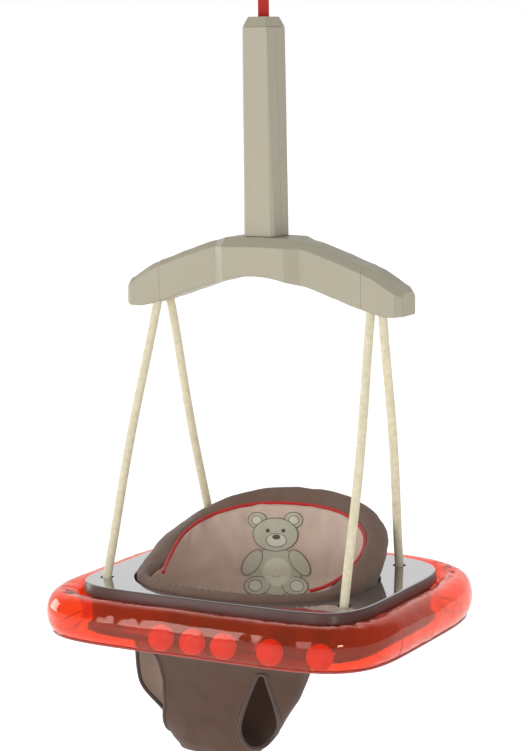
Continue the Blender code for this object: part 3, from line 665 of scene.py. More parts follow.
def make_ropes():
    for place, hole, y_sign in (("front", ROPE_FRONT_HOLE, -1), ("rear", ROPE_REAR_HOLE, 1)):
        for side, sign in (("left", -1), ("right", 1)):
            route = rope_route(sign, hole, y_sign)
            head = route[0] + Vector((0, 0, ROPE_INTO_YOKE))
            guide = [head] + route
            path = smooth_curve(guide, 26)
            name = "rope_%s_%s" % (place, side)
            rope = tube(name + "_braid", path, ROPE_RADIUS, ROPE, sides=48, relief=braid, hint=(0, 1, 0))
            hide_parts(name)
            tuple(route[2])
            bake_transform(rope)
            length = running_lengths(path, False)[-1]
            tuple(route[0])
            [tuple(point) for point in path[::8] + [path[-1]]]
            make_knot("upper_knot_%s_%s" % (place, side), TOWER)
            make_knot("lower_knot_%s_%s" % (place, side), SEAT)


def knot_braid(angle, along):
    return 0.6 * braid(angle, along)


def make_knot(node, body):
    """Stopper knot: a trefoil of the same cord, drawn tight, inside the CAD knot's box."""
    low, high = corners(node)
    middle = (low + high) / 2
    reach = (high.x - low.x) / 2
    cord = reach * KNOT_CORD
    path = []
    for turn in turns(90):
        path.append(middle + Vector(((math.sin(turn) + 2 * math.sin(2 * turn)) * (reach - cord) / 3,
                                     (math.cos(turn) - 2 * math.cos(2 * turn)) * (reach - cord) / 3,
                                     -math.sin(3 * turn) * ((high.z - low.z) / 2 - cord))))
    knot = tube(node + "_tied", path, cord, ROPE, sides=28, closed=True, relief=knot_braid)
    stand_for(knot, node, body)


# ---------------------------------------------------------------- tower and yoke

SOFT_EDGE = 0.5 * MM
SOFT_EDGE_ANGLE = 18           # degrees between faces, from which an edge is rounded


def soften(node):
    """A copy of a CAD shell with its edges rounded, in place of the sharp one."""
    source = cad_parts[node]
    mesh = source.data.copy()
    mesh.materials.clear()
    shape = bmesh.new()
    shape.from_mesh(mesh)
    bmesh.ops.remove_doubles(shape, verts=shape.verts, dist=0.01 * MM)
    bmesh.ops.dissolve_limit(shape, angle_limit=math.radians(1.0), verts=shape.verts, edges=shape.edges)
    shape.to_mesh(mesh)
    shape.free()
    piece = finish_mesh(node + "_shell", mesh, HOUSING)
    bevel = piece.modifiers.new("edges", "BEVEL")
    bevel.width = SOFT_EDGE
    bevel.segments = 3
    bevel.limit_method = "ANGLE"
    bevel.angle_limit = math.radians(SOFT_EDGE_ANGLE)
    bevel.harden_normals = False
    even_faces(piece)
    stand_for(piece, node, TOWER)


def make_tower():
    for node in ("tower_front", "tower_rear", "tower_cap"):
        soften(node)


# Yoke: distance from the middle, half depth, underside, top and top bevel of its section
YOKE_STATIONS = (
    (0 * MM, 36 * MM, 361 * MM, 407 * MM, 11 * MM),
    (42 * MM, 36 * MM, 355 * MM, 406 * MM, 11 * MM),
    (57 * MM, 24.6 * MM, 351 * MM, 402 * MM, 8 * MM),
    (105 * MM, 24.6 * MM, 336.5 * MM, 387 * MM, 7 * MM),
    (136.5 * MM, 24.6 * MM, 326.3 * MM, 375.5 * MM, 7 * MM),
    (150 * MM, 24.6 * MM, 322.3 * MM, 369.5 * MM, 7 * MM),
    (164 * MM, 24.6 * MM, 318.8 * MM, 361 * MM, 6.5 * MM),
    (179 * MM, 24.6 * MM, 318.8 * MM, 352 * MM, 6 * MM),
    (186.5 * MM, 17.1 * MM, 319.5 * MM, 346.5 * MM, 5 * MM),
)
YOKE_SEAM = 136.5 * MM
YOKE_WALL = 2.5 * MM
YOKE_SLOT = (6 * MM, 8.4 * MM)
YOKE_EDGE = 2 * MM             # bevel along the underside
YOKE_ROUNDING = 0.9 * MM
SOCKET_HALF = 16.1 * MM        # half width of the hole for the tower's foot
SOCKET_BELOW = 5 * MM
TONGUE = 12 * MM               # of an end cap, inside the two shells
TONGUE_STEP = 1.5 * MM
TONGUE_THINNER = 2 * MM
GAP = 0.3 * MM


def yoke_section(distance):
    """Half depth, underside, top and bevel: flat facets at the block and the tip, a smooth arc between."""
    distance = min(distance, YOKE_STATIONS[-1][0])
    index = next(n for n, station in enumerate(YOKE_STATIONS[1:]) if distance <= station[0] + 1e-9)
    low, high = YOKE_STATIONS[index], YOKE_STATIONS[index + 1]
    share = (distance - low[0]) / (high[0] - low[0])
    if index < 1:
        share = share * share
    if index < 2 or index == len(YOKE_STATIONS) - 2:
        return [a + (b - a) * share for a, b in zip(low[1:], high[1:])]
    arc = [station[1:] for station in YOKE_STATIONS[2:-1]]
    return blended(arc, index - 2, share)


def yoke_row(x, shrink=0.0):
    """Section of the yoke across X, its corners rounded."""
    depth, under, top, bevel = yoke_section(abs(x))
    depth, under, top = depth - shrink, under + shrink, top - shrink
    low_depth, high_depth, low, high = depth - YOKE_EDGE, depth - bevel, under + YOKE_EDGE, top - bevel
    outline = [Vector(corner) for corner in (
        (-low_depth, under), (low_depth, under), (depth, low), (depth, high),
        (high_depth, top), (-high_depth, top), (-depth, high), (-depth, low))]
    points = []
    for before, here, after in zip(outline[-1:] + outline[:-1], outline, outline[1:] + outline[:1]):
        start = here + (before - here).normalized() * YOKE_ROUNDING
        end = here + (after - here).normalized() * YOKE_ROUNDING
        for step in range(4):
            t = step / 3
            points.append(start.lerp(here, t).lerp(here.lerp(end, t), t))
    return [Vector((x, point.x, above_tray(point.y))) for point in points]


def spaced(start, end, spacing=2.5 * MM):
    """Places along X from start to end, with one at every edge of a facet."""
    sign = 1 if end > start else -1
    edges = [side * station[0] for station in YOKE_STATIONS for side in (-1, 1)]
    around = [edge + nudge for edge in edges for nudge in (-0.6 * MM, 0, 0.6 * MM)]
    steps = max(2, round(abs(end - start) / spacing))
    places = [start + (end - start) * step / steps for step in range(steps + 1)]
    places += [place for place in around if min(start, end) < place < max(start, end)]
    return sorted(set(round(place, 6) for place in places), key=lambda place: sign * place)


def slot_cutter(x, y):
    half_width, half_length = YOKE_SLOT
    rims = []
    for height in (300 * MM, 333 * MM):
        rim = []
        for angle in turns(AROUND):
            angle += math.pi / AROUND
            reach = math.copysign(half_length - half_width, math.sin(angle))
            rim.append(Vector((x + half_width * math.cos(angle), y + half_width * math.sin(angle) + reach,
                               above_tray(height))))
        rims.append(rim)
    return skin("slot", rims, HOUSING, caps=True)


def block(low, high):
    """Box that cuts a moulding, from one corner to the other."""
    rows = [[Vector((x, y, z)) for x, y in ((low[0], low[1]), (high[0], low[1]), (high[0], high[1]),
                                            (low[0], high[1]))] for z in (low[2], high[2])]
    return skin("block", rows, HOUSING, caps=True)


def shade(piece, sharp_angle):
    piece.data.shade_smooth()
    piece.data.set_sharp_from_angle(angle=math.radians(sharp_angle))


def finish_moulding(piece, node):
    shade(piece, 50)
    even_faces(piece)
    stand_for(piece, node, TOWER)


def make_yoke():
    """Two mouldings that meet at the middle plane, and a cap at each end."""
    reach = YOKE_SEAM - GAP / 2
    socket_low, socket_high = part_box("tower_front")[0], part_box("tower_rear")[1]
    for side, near, far in (("front", -GAP / 2, 1), ("rear", GAP / 2, -1)):
        rows = [yoke_row(x) for x in spaced(-reach, reach)]
        rows += [yoke_row(x, YOKE_WALL) for x in spaced(reach, -reach)]
        shell = skin("yoke_%s_shell" % side, rows, HOUSING, closed=True)
        low_y, high_y = sorted((near, far))
        subtract(shell, block((-1, low_y, -2), (1, high_y, 1)))
        subtract(shell, block((-SOCKET_HALF, -SOCKET_HALF, socket_low[2] - SOCKET_BELOW),
                              (SOCKET_HALF, SOCKET_HALF, socket_high[2])))
        finish_moulding(shell, "yoke_" + side)
    for side, sign in (("left", -1), ("right", 1)):
        make_yoke_end(side, sign)


def make_yoke_end(side, sign):
    seam = YOKE_SEAM + GAP / 2
    tip = YOKE_STATIONS[-1][0]
    tongue = YOKE_SEAM - TONGUE
    step = seam + TONGUE_STEP
    rows = [yoke_row(sign * x, YOKE_WALL) for x in spaced(tip - YOKE_WALL, step)]
    rows += [yoke_row(sign * x, YOKE_WALL + GAP + TONGUE_THINNER) for x in (step, tongue)]
    rows += [yoke_row(sign * x, YOKE_WALL + GAP) for x in (tongue, seam)]
    rows += [yoke_row(sign * x) for x in spaced(seam, tip)]
    cap = skin("yoke_end_%s_shell" % side, rows, HOUSING, caps=True)
    for y in (-ROPE_TOP_Y, ROPE_TOP_Y):
        subtract(cap, slot_cutter(sign * ROPE_TOP_X, y))
    finish_moulding(cap, "yoke_end_" + side)


# ---------------------------------------------------------------- kept nodes

def dress_nodes():
    groups = ((STEEL, ("gate_pin", "hook_body", "hook_gate", "strap_pin", "spring_seat", "seat_hoop")),
              (INNER, ("strap_slider", "plunger")),
              (FRAME_DARK, ("tray_frame",)),
              (VINYL, ("valve_body",)),
              (BALL, ("valve_plug",)))
    for finish, names in groups:
        for name in names:
            dress(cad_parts[name], finish)
    for name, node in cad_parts.items():
        if "screw" in name:
            dress(node, STEEL)


def dress(node, finish):
    node.data.materials.clear()
    node.data.materials.append(finish)


# ---------------------------------------------------------------- spring

SPRING_TURNS = 11
SPRING_WIRE = 1.3 * MM


def make_spring():
    """Coil of steel wire that fills the CAD spring's box."""
    low, high = corners("spring")
    radius = (high.x - low.x) / 2 - SPRING_WIRE
    bottom, top = low.z + SPRING_WIRE, high.z - SPRING_WIRE
    path = []
    steps = SPRING_TURNS * 24
    for step in range(steps + 1):
        angle = 2 * math.pi * SPRING_TURNS * step / steps
        path.append(Vector((radius * math.cos(angle), radius * math.sin(angle),
                            bottom + (top - bottom) * step / steps)))
    coil = tube("spring_coil", path, SPRING_WIRE, STEEL, sides=10)
    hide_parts("spring")
    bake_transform(coil)


# ---------------------------------------------------------------- strap

STRAP_HALF_THICKNESS = 0.8 * MM
STRAP_SHORTER = 4 * MM         # at each end, inside the CAD strap's loops
STRAP_STEPS = 200
STRAP_TWIST = math.radians(34)
TWIST_STARTS = (0.715, 0.78)   # shares of the strap's length over which the twist comes
TWIST_ENDS = (0.86, 0.93)      # and goes


def strap_row(height, half_width, twist):
    side = Vector((math.cos(twist), math.sin(twist), 0))
    face = Vector((-math.sin(twist), math.cos(twist), 0))
    row = []
    for angle in turns(28):
        across, deep = math.cos(angle), math.sin(angle)
        reach = square_reach(across, deep, 6)
        row.append(Vector((0, 0, height)) + side * half_width * reach * across
                   + face * STRAP_HALF_THICKNESS * reach * deep)
    return row


def make_strap():
    low, high = corners("strap")
    half_width = (high.x - low.x) / 2
    top, bottom = high.z - STRAP_SHORTER, low.z + STRAP_SHORTER
    rows = []
    for step in range(STRAP_STEPS + 1):
        share = step / STRAP_STEPS
        twisted = smoothstep(*TWIST_STARTS, share) * (1 - smoothstep(*TWIST_ENDS, share))
        rows.append(strap_row(bottom + (top - bottom) * share, half_width, STRAP_TWIST * twisted))
    strap = skin("strap_webbing", rows, WEBBING, caps=True)
    stand_for(strap, "strap", HANGER)


# ---------------------------------------------------------------- tray

TRAY_STEPS = 256
# The tray's section, as distance outside its outline and height, in mm: its edge, then its opening
TRAY_EDGE_SECTION = (
    (-2.9, 0), (-2.6, 0), (-2.0, -0.1), (-1.45, -0.35), (-1.0, -0.8), (-0.65, -1.5), (-0.35, -2.6),
    (0.0, -4.0), (1.15, -11.6), (1.3, -12.6), (1.1, -13.0), (0.3, -13.0), (-0.9, -13.0), (-1.2, -12.7),
    (-1.3, -12.0), (-3.0, -3.9), (-3.6, -3.6))
TRAY_OPENING_SECTION = (
    (3.4, -3.6), (3.0, -4.0), (3.0, -7.6), (2.6, -8.0), (0.4, -8.0), (0.0, -7.6), (0.0, -1.5), (0.12, -0.9),
    (0.5, -0.35), (1.1, -0.07), (1.7, 0), (2.0, 0))
GLOSS_DOWN_TO = -0.6 * MM
ROPE_HOLE_RADIUS = 8.2 * MM


def make_tray():
    rows = [TRAY.loop(TRAY_STEPS, height * MM, grow * MM) for grow, height in TRAY_EDGE_SECTION]
    rows += [OPENING.loop(TRAY_STEPS, height * MM, grow * MM) for grow, height in TRAY_OPENING_SECTION]
    tray = skin("tray_plate", rows, [TRAY_GLOSS, TRAY_EDGE], closed=True, smooth_angle=50)
    for face in tray.data.polygons:
        face.material_index = 1 if face.center.z < above_tray(GLOSS_DOWN_TO) else 0
    for hole in (ROPE_FRONT_HOLE, ROPE_REAR_HOLE):
        for sign in (-1, 1):
            low, high = ((sign * hole[0], hole[1], above_tray(height)) for height in (-12 * MM, 8 * MM))
            subtract(tray, bar("hole", ROPE_HOLE_RADIUS, low, high, TRAY_GLOSS))
    shade(tray, 40)
    even_faces(tray)
    stand_for(tray, "tray_top", SEAT)


# ---------------------------------------------------------------- air ring and balls

RING_STEPS = 420
RING_CORNERS = 56
RING_POWER = 2.3
PUCKER_SPACING = 8.5 * MM
PUCKER_DEPTH = 3.2 * MM
CORNER_FOLD_SPACING = 12.5 * MM
CORNER_FOLD_DEPTH = 3.0 * MM
LOW_FOLD_SPACING = 19 * MM
LOW_FOLD_DEPTH = 1.6 * MM
FILM = 0.5 * MM
WELD_ROOT = (12.4 * MM, 6.2 * MM)    # from the tube's middle outwards, and up from its bottom
WELD_WIDTH = 3.6 * MM
WELD_HALF_THICKNESS = 0.3 * MM
CROSS_SEAMS = (("front", 0.93), ("rear", 0.43))    # share of the way round the ring
CROSS_SEAM_INSET = 0.6 * MM
CROSS_SEAM_RADIUS = 0.9 * MM


def ring_line():
    line = RING.loop(RING_STEPS, RING_CENTRE, -RING_HALF_TUBE)
    outward = []
    bend = []
    for index in range(RING_STEPS):
        before, after = line[index - 4], line[(index + 4) % RING_STEPS]
        ahead = after - before
        outward.append(Vector((ahead.y, -ahead.x, 0)).normalized())
        turn = (line[index] - before).angle(after - line[index])
        bend.append(turn / ahead.length)
    return line, outward, bend


def ring_wrinkle(length, angle, corner, place):
    """How far the film stands in or out: short puckers along the top, longer folds in the corners."""
    degrees = math.degrees(angle)
    jitter = 2.2 * noise.noise(Vector((length * 26, 0.3, 0.7)))
    slant = (degrees - 110) * 0.045
    strength = min(0.55 + 2.4 * noise.noise(Vector((length * 34, 5.1, 0))) ** 2, 1.3)
    pucker = hump(degrees, 100, 15) * crease(length, PUCKER_SPACING, jitter + slant, 0.5) * strength
    fold = hump(degrees, 105, 42) * corner
    fold *= crease(length, CORNER_FOLD_SPACING, 1.7 * jitter + 0.6 * slant, 0.6)
    low_fold = hump(degrees, 290, 32) * (0.25 + 0.75 * corner)
    low_fold *= crease(length, LOW_FOLD_SPACING, 1.5 * jitter, 0.8)
    deep = PUCKER_DEPTH * pucker + CORNER_FOLD_DEPTH * fold + LOW_FOLD_DEPTH * low_fold
    return 0.6 * MM * ripple(place, 45 * MM) + 0.3 * MM * ripple(place, 14 * MM, 3.1) - deep


def ring_spot(point, out, angle, inset=0.0):
    """Place on the tube's section by the angle round it: 0 is outwards, 90 degrees is up."""
    across, up = math.cos(angle), math.sin(angle)
    reach = square_reach(across, up, RING_POWER)
    rise = Vector((0, 0, (RING_HALF_HEIGHT - inset) * reach * up))
    return point + out * (RING_HALF_TUBE - inset) * reach * across + rise


def make_ring():
    line, outward, bend = ring_line()
    most = max(bend)
    lengths = running_lengths(line, True)
    rows = []
    for index, point in enumerate(line):
        corner = smoothstep(0.25, 0.75, bend[index] / most)
        row = []
        for angle in turns(RING_CORNERS):
            spot = ring_spot(point, outward[index], angle)
            normal = (outward[index] * math.cos(angle) + Vector((0, 0, math.sin(angle) * 0.75))).normalized()
            row.append(spot + normal * ring_wrinkle(lengths[index], angle, corner, spot))
        rows.append(row)
    ring = skin("ring_film", rows, VINYL, closed=True, smooth_angle=180)
    thicken(ring, "wall", FILM)
    apply_modifiers(ring)
    stand_for(ring, "air_ring", SEAT)
    make_weld(line, outward)
    make_cross_seams(line, outward)


def make_weld(line, outward):
    """Welded seam that runs round the tube's lower outer side, a narrow flange that stands proud."""
    rows = []
    for point, out in zip(line, outward):
        root = point + out * WELD_ROOT[0] + Vector((0, 0, -RING_HALF_HEIGHT + WELD_ROOT[1]))
        across = (out + UP).normalized() * WELD_HALF_THICKNESS
        tip = root + (out - UP).normalized() * WELD_WIDTH
        rows.append([root - across, tip - across, tip + across, root + across])
    weld = skin("ring_weld", rows, WELD, closed=True)
    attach(weld, SEAT)


def make_cross_seams(line, outward):
    """Two seams across the tube, where the ring's strip of film is joined."""
    for name, share in CROSS_SEAMS:
        index = round(share * RING_STEPS)
        path = [ring_spot(line[index], outward[index], angle, CROSS_SEAM_INSET) for angle in turns(60)]
        seam = tube("ring_cross_seam_" + name, path, CROSS_SEAM_RADIUS, VINYL, sides=8, closed=True)
        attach(seam, SEAT)


BALL_RINGS = 28
BALL_SEAM = 0.18 * MM          # how far the mould's parting line stands proud
BALL_SEAM_WIDTH = 2.2          # degrees
BALL_POLE = 0.02               # size of the small flat cap at each pole, as a share of the radius


def make_balls():
    for number in range(1, 7):
        node = "ball_%d" % number
        low, high = corners(node)
        middle = (low + high) / 2
        rows = []
        for ring in range(BALL_RINGS + 1):
            lift = math.pi * (ring / BALL_RINGS - 0.5)
            reach = (high.x - low.x) / 2 + BALL_SEAM * hump(math.degrees(lift), 0, BALL_SEAM_WIDTH)
            flat = max(math.cos(lift), BALL_POLE)
            rows.append([middle + Vector((reach * flat * math.cos(turn), reach * flat * math.sin(turn),
                                          reach * math.sin(lift))) for turn in turns(AROUND)])
        ball = skin(node + "_blown", rows, BALL, caps=True)
        stand_for(ball, node, node)


# ---------------------------------------------------------------- fabric seat

SEAT_STEPS = 240
COLLAR_REACH = 116
PIPING_REACH = 124
MIDDLE = Vector((0, -39 * MM, 0))
RIM = Outline(142 * MM, -159 * MM, 81 * MM, 2.3, 2.3)
PIPING_LINE = Outline(124 * MM, -141 * MM, 63 * MM, 2.3, 2.3)
LEFT_WING_ANGLE = 192
LEFT_WING_EXTRA = 15 * MM      # how much wider the padding is at the left wing
RIM_FRONT = 6 * MM
RIM_BACK = 80 * MM
PIPING_BACK = 66 * MM
# Bag: height, half width, front and rear edges and sideways shift of its outline
BAG_STATIONS = (
    (-26.5 * MM, 143 * MM, -152 * MM, 80 * MM, 0 * MM),
    (-60 * MM, 135 * MM, -140 * MM, 52 * MM, -16 * MM),
    (-100 * MM, 119 * MM, -122 * MM, 10 * MM, -34 * MM),
    (-140 * MM, 106 * MM, -113 * MM, -20 * MM, -37 * MM),
    (-175 * MM, 82 * MM, -109 * MM, -38 * MM, -33 * MM),
    (-198 * MM, 62 * MM, -106 * MM, -48 * MM, -31 * MM),
    (-208 * MM, 53 * MM, -101 * MM, -58 * MM, -30 * MM),
)
# Leg holes: inner starting point, direction through the cloth, and the height and half width of each level
LEFT_LEG = ((-76 * MM, -57 * MM), (-0.745, -0.67),
            ((-64, 10), (-72, 26), (-90, 35), (-115, 34), (-145, 28), (-172, 18), (-190, 8)))
RIGHT_LEG = ((13 * MM, -68 * MM), (0.615, -0.79),
             ((-96, 3), (-110, 8), (-125, 13), (-145, 19), (-163, 23), (-177, 22), (-189, 16), (-195, 7)))


BAG_POWERS = (2.4, 2.2)        # squareness of its front and rear
FOOT = Vector((0, 0, -12 * MM))     # of the collar, inside the tray's opening
HEM_INSIDE = -3.4 * MM
HEM_SECTION = ((0, 2), (1.5, 6), (6, 8.5), (10.5, 6), (12, 1))     # inwards and up, in mm
GATHER_SPACING = 8.5 * MM
GATHER_DEPTH = 2.6 * MM
COLLAR_CLEARANCE = 5 * MM      # how far inside the collar's foot the lining passes
CLOTH_CLEARANCE = 1 * MM       # and how far inside the bag's outline the cloth lies
UPPER_ROWS = 16
LOWER_ROWS = 46
BROWN_AND_SHADE_BELOW = -92 * MM       # inside the bag, brown cloth shows below this level: partly the unlined cloth, partly painted shade
BROWN_AND_SHADE_FROM = -45 * MM        # and to the right of this place, where it paints the shade inside the right leg hole
CLOTH = 1.6 * MM
STITCH_INSET = 6.5 * MM        # from the middle of a leg hole's binding
STITCH_PITCH = 3.6 * MM
STITCH_LENGTH = 2.6 * MM
STITCH_RADIUS = 0.45 * MM
STITCH_LIFT = 0.2 * MM
BINDING_RADIUS = 2.4 * MM
PIPING_RADIUS = 2.3 * MM
PIPING_LIFT = 1 * MM
# Long soft folds in the lining: where, width, lean in degrees, and depth
LINING_FOLDS = ((148, 3.5, 12, 6 * MM), (139, 4, 10, -4 * MM), (126, 3, 8, 3 * MM), (115, 4, -6, -3 * MM),
                (58, 4, -10, 4 * MM), (48, 5, -8, -3 * MM), (30, 4, -5, 4 * MM))


def from_back(angle):
    """Degrees round from the middle of the back, either way."""
    degrees = abs(math.degrees(angle) - 90)
    return min(degrees, 360 - degrees)


def back_share(angle, reach, power):
    """1 at the middle of the back, falling to 0 where the wings end at the front."""
    return 0.5 * (1 + math.cos(math.pi * min(from_back(angle) / reach, 1) ** power))


def outward_at(angle):
    point = RIM.at(angle)
    return Vector((point.x - MIDDLE.x, point.y - MIDDLE.y, 0)).normalized()


def rim_point(angle):
    share = back_share(angle, COLLAR_REACH, 1.2)
    point = RIM.at(angle, RIM_FRONT + (RIM_BACK - RIM_FRONT) * share)
    return point + outward_at(angle) * 28 * MM * share, share


def piping_point(angle):
    share = back_share(angle, PIPING_REACH, 1.3)
    left = hump(math.degrees(angle) % 360, LEFT_WING_ANGLE, 34)
    point = PIPING_LINE.at(angle, RIM_FRONT + (PIPING_BACK - RIM_FRONT) * share, -LEFT_WING_EXTRA * left)
    return point + outward_at(angle) * 14 * MM * share, share


def hem_share(angle):
    """1 along the gathered front hem, 0 in the padded wings and back."""
    return smoothstep(96, 126, from_back(angle))


def padded_section(base, out, rim, piping, share):
    """Section of the padded wings and back: from the foot up the outside and over to the piping."""
    outer = base.lerp(rim, 0.45) + out * 9 * MM * share
    shoulder = rim + out * (1.5 + 1.5 * share) * MM - UP * (2 + 5 * share) * MM
    top = rim.lerp(piping, 0.38)
    top.z = max(rim.z, piping.z) + (1.5 + 2.5 * share) * MM
    inner = rim.lerp(piping, 0.8)
    inner.z = piping.z + (2 + 5 * share) * MM
    return [base + FOOT, base, outer, shoulder, top, inner, piping]


def hem_section(base, out, angle):
    """Section of the gathered front hem, with as many points."""
    start = OPENING.at(angle, 0, HEM_INSIDE)
    return [base + FOOT, base] + [start - out * inward * MM + UP * rise * MM for inward, rise in HEM_SECTION]


def collar_push(point, along, length, hem):
    """How far the cover stands in or out: gathers in the hem, soft unevenness in the padding."""
    swell = math.sin(math.pi * min(1, max(0, (along - 0.2) / 0.8)))
    jitter = 2.5 * noise.noise(Vector((length * 30, 0, 0)))
    push = -GATHER_DEPTH * hem * crease(length, GATHER_SPACING, jitter + 2.2 * along, 0.7) * swell
    return push + (1 - hem) * 1.6 * MM * ripple(point, 32 * MM, 1.3) + 0.7 * MM * ripple(point, 12 * MM, 7.7)


def collar_row(angle, length):
    out = outward_at(angle)
    base = OPENING.at(angle, -4 * MM, -3 * MM)
    rim, share = rim_point(angle)
    piping, _ = piping_point(angle)
    hem = hem_share(angle)
    sections = zip(padded_section(base, out, rim, piping, share), hem_section(base, out, angle))
    curve = smooth_curve([padded.lerp(gathered, hem) for padded, gathered in sections], 7)
    core = base.lerp(piping, 0.5) + UP * (max(rim.z, piping.z) - base.z) * 0.3
    row = []
    for index, point in enumerate(curve):
        push = collar_push(point, index / (len(curve) - 1), length, hem)
        row.append(point + (point - core).normalized() * push)
    inside = piping.lerp(base, 0.5)
    inside.z = above_tray(-8 * MM)
    low = base - out * 9 * MM
    low.z = above_tray(-16 * MM)
    return row + [row[-1] - UP * 4 * MM + out * 3 * MM, inside.lerp(low, 0.4), low]


def make_collar():
    """Padded brown rim, closed over its wadding; at the front it narrows to a gathered hem."""
    lengths = running_lengths(OPENING.loop(SEAT_STEPS), True)
    rows = [collar_row(angle, length) for angle, length in zip(turns(SEAT_STEPS), lengths)]
    collar = skin("seat_collar_cover", rows, BROWN, closed=True, smooth_angle=70)
    stand_for(collar, "seat_collar", SEAT)


def bag_section(height):
    """Outline of the bag at a height, read smoothly between its stations."""
    height = max(min(height, BAG_STATIONS[0][0]), BAG_STATIONS[-1][0])
    index = next(n for n, below in enumerate(BAG_STATIONS[1:]) if height >= below[0])
    high, low = BAG_STATIONS[index][0], BAG_STATIONS[index + 1][0]
    share = (high - height) / (high - low)
    _, half_width, front, rear, shift = blended(BAG_STATIONS, index, share)
    return Outline(half_width, front, rear, *BAG_POWERS, shift)


def bag_wave(point, angle, height):
    """Folds of the empty bag."""
    gathers = math.sin(angle * 26 + 3 * noise.noise(Vector((angle * 2, 0, 0))))
    gathers *= smoothstep(-110, -30, height / MM)
    uneven = 2.2 * MM * ripple(point, 48 * MM, 2.2) + 0.8 * MM * ripple(point, 17 * MM, 9.1)
    return 1.2 * MM * gathers + uneven


def leg_level(leg):
    """Distance outside a leg hole's rounded outline, seen along its direction; negative inside it."""
    (x, y), direction, levels = leg
    start = Vector((x, y, 0))
    toward = Vector((*direction, 0)).normalized()
    across = Vector((-toward.y, toward.x, 0))
    rim = [Vector((half * MM, above_tray(height * MM))) for height, half in levels]
    rim += [Vector((-half * MM, above_tray(height * MM))) for height, half in reversed(levels)]
    rim = smooth_curve(rim, 5, closed=True)

    def level(point):
        offset = point - start
        if offset.dot(toward) < 0:
            return 1.0
        spot = Vector((offset.dot(across), point.z))
        inside = False
        nearest = 1.0
        for first, second in zip(rim, rim[1:] + rim[:1]):
            if (first.y > spot.y) != (second.y > spot.y):
                if spot.x < first.x + (second.x - first.x) * (spot.y - first.y) / (second.y - first.y):
                    inside = not inside
            run = second - first
            share = max(0.0, min(1.0, (spot - first).dot(run) / run.length_squared))
            nearest = min(nearest, (spot - first - run * share).length)
        return -nearest if inside else nearest

    return level


def cut_by_level(shape, level):
    """Splits faces where level crosses 0 and deletes the side where it is negative."""
    values = {vert: level(vert.co) for vert in shape.verts}
    for edge in list(shape.edges):
        first, second = edge.verts
        if (values[first] < 0) != (values[second] < 0):
            share = values[first] / (values[first] - values[second])
            _, added = bmesh.utils.edge_split(edge, first, share)
            values[added] = 0.0
    for face in list(shape.faces):
        crossing = [vert for vert in face.verts if values[vert] == 0.0]
        if len(crossing) == 2:
            bmesh.utils.face_split(face, crossing[0], crossing[1])
    gone = [face for face in shape.faces if any(values[vert] < 0 for vert in face.verts)]
    bmesh.ops.delete(shape, geom=gone, context="FACES")
    return [vert for vert in shape.verts if values.get(vert) == 0.0]


def upper_row(share):
    """Row of the lining inside the collar, by its share of the way from the piping to the bag."""
    top = BAG_STATIONS[0][0]
    section = bag_section(top)
    row = []
    for angle in turns(SEAT_STEPS):
        piping, height_share = piping_point(angle)
        start = piping.lerp(OPENING.at(angle, 1 * MM, -15 * MM), hem_share(angle))
        point = start.lerp(section.at(angle, top, -COLLAR_CLEARANCE), share)
        bulge = math.sin(math.pi * share) * (2 + 5 * height_share) * MM
        fold = math.sin(angle * 30 + 2.5 * noise.noise(Vector((angle * 3, 1, 0))))
        gather = 1.9 * MM * fold * (1 - share) ** 1.3 * math.sin(math.pi * min(share * 3 + 0.05, 1))
        drape = sum(depth * hump(math.degrees(angle), place - lean * share, width)
                    for place, width, lean, depth in LINING_FOLDS) * math.sin(math.pi * share) ** 0.6
        push = drape - bulge + gather + 1.8 * MM * ripple(point, 26 * MM, 4.4)
        row.append(point + outward_at(angle) * push)
    return row


def lower_row(share):
    """Row of the bag's cloth, by its share of the way down to the closed bottom."""
    high, low = BAG_STATIONS[0][0], BAG_STATIONS[-1][0]
    height = high + (low - high) * share
    section = bag_section(height)
    inset = CLOTH_CLEARANCE + (COLLAR_CLEARANCE - CLOTH_CLEARANCE) * (1 - smoothstep(0, 0.2, share))
    row = []
    for angle in turns(SEAT_STEPS):
        point = section.at(angle, height, -inset)
        push = bag_wave(point, angle, height) * smoothstep(0, 0.15, share)
        row.append(point + outward_at(angle) * push)
    return row


def ordered_loop(verts):
    """A boundary's vertices in order round the hole."""
    wanted = set(verts)
    start = min(wanted, key=lambda vert: vert.index)
    loop = [start]
    before = None
    while True:
        here = loop[-1]
        onward = None
        for edge in here.link_edges:
            other = edge.other_vert(here)
            if edge.is_boundary and other in wanted and other is not before and other not in loop[1:]:
                if other is start and len(loop) < 3:
                    continue
                onward = other
                break
        if onward is None or onward is start:
            return loop
        before = here
        loop.append(onward)


# The animal sewn on the lining: a plain sitting bear of felt patches, in millimetres about its middle.
# Each patch: name, across, up, half width, half height, turn in degrees, layer, felt
BEAR = (
    ("body", 0, -20, 27, 30, 0, 1, "felt"),
    ("belly", 1, -21, 16, 19, 0, 2, "pale"),
    ("ear_left", -19, 44, 10, 10, 0, 1, "felt"),
    ("ear_right", 19, 44, 10, 10, 0, 1, "felt"),
    ("inner_ear_left", -19.5, 44, 5.5, 5.5, 0, 2, "pale"),
    ("inner_ear_right", 19.5, 44, 5.5, 5.5, 0, 2, "pale"),
    ("head", 0, 26, 24, 21, 0, 3, "felt"),
    ("muzzle", 1, 19, 11, 8.5, 0, 4, "pale"),
    ("arm_left", -25, -9, 8.5, 18, -28, 3, "felt"),
    ("arm_right", 25, -9, 8.5, 18, 28, 3, "felt"),
    ("leg_left", -20, -38, 14, 11.5, 8, 3, "felt"),
    ("leg_right", 20, -38, 14, 11.5, -8, 3, "felt"),
    ("sole_left", -22, -38, 7, 7, 0, 4, "pale"),
    ("sole_right", 22, -38, 7, 7, 0, 4, "pale"),
    ("nose", 1, 23, 4, 2.7, 0, 5, "thread"),
    ("eye_left", -8, 31, 1.9, 2.1, 0, 4, "thread"),
    ("eye_right", 8.5, 31, 1.9, 2.1, 0, 4, "thread"),
)
BEAR_MIDDLE = Vector((3 * MM, 0, above_tray(16 * MM)))
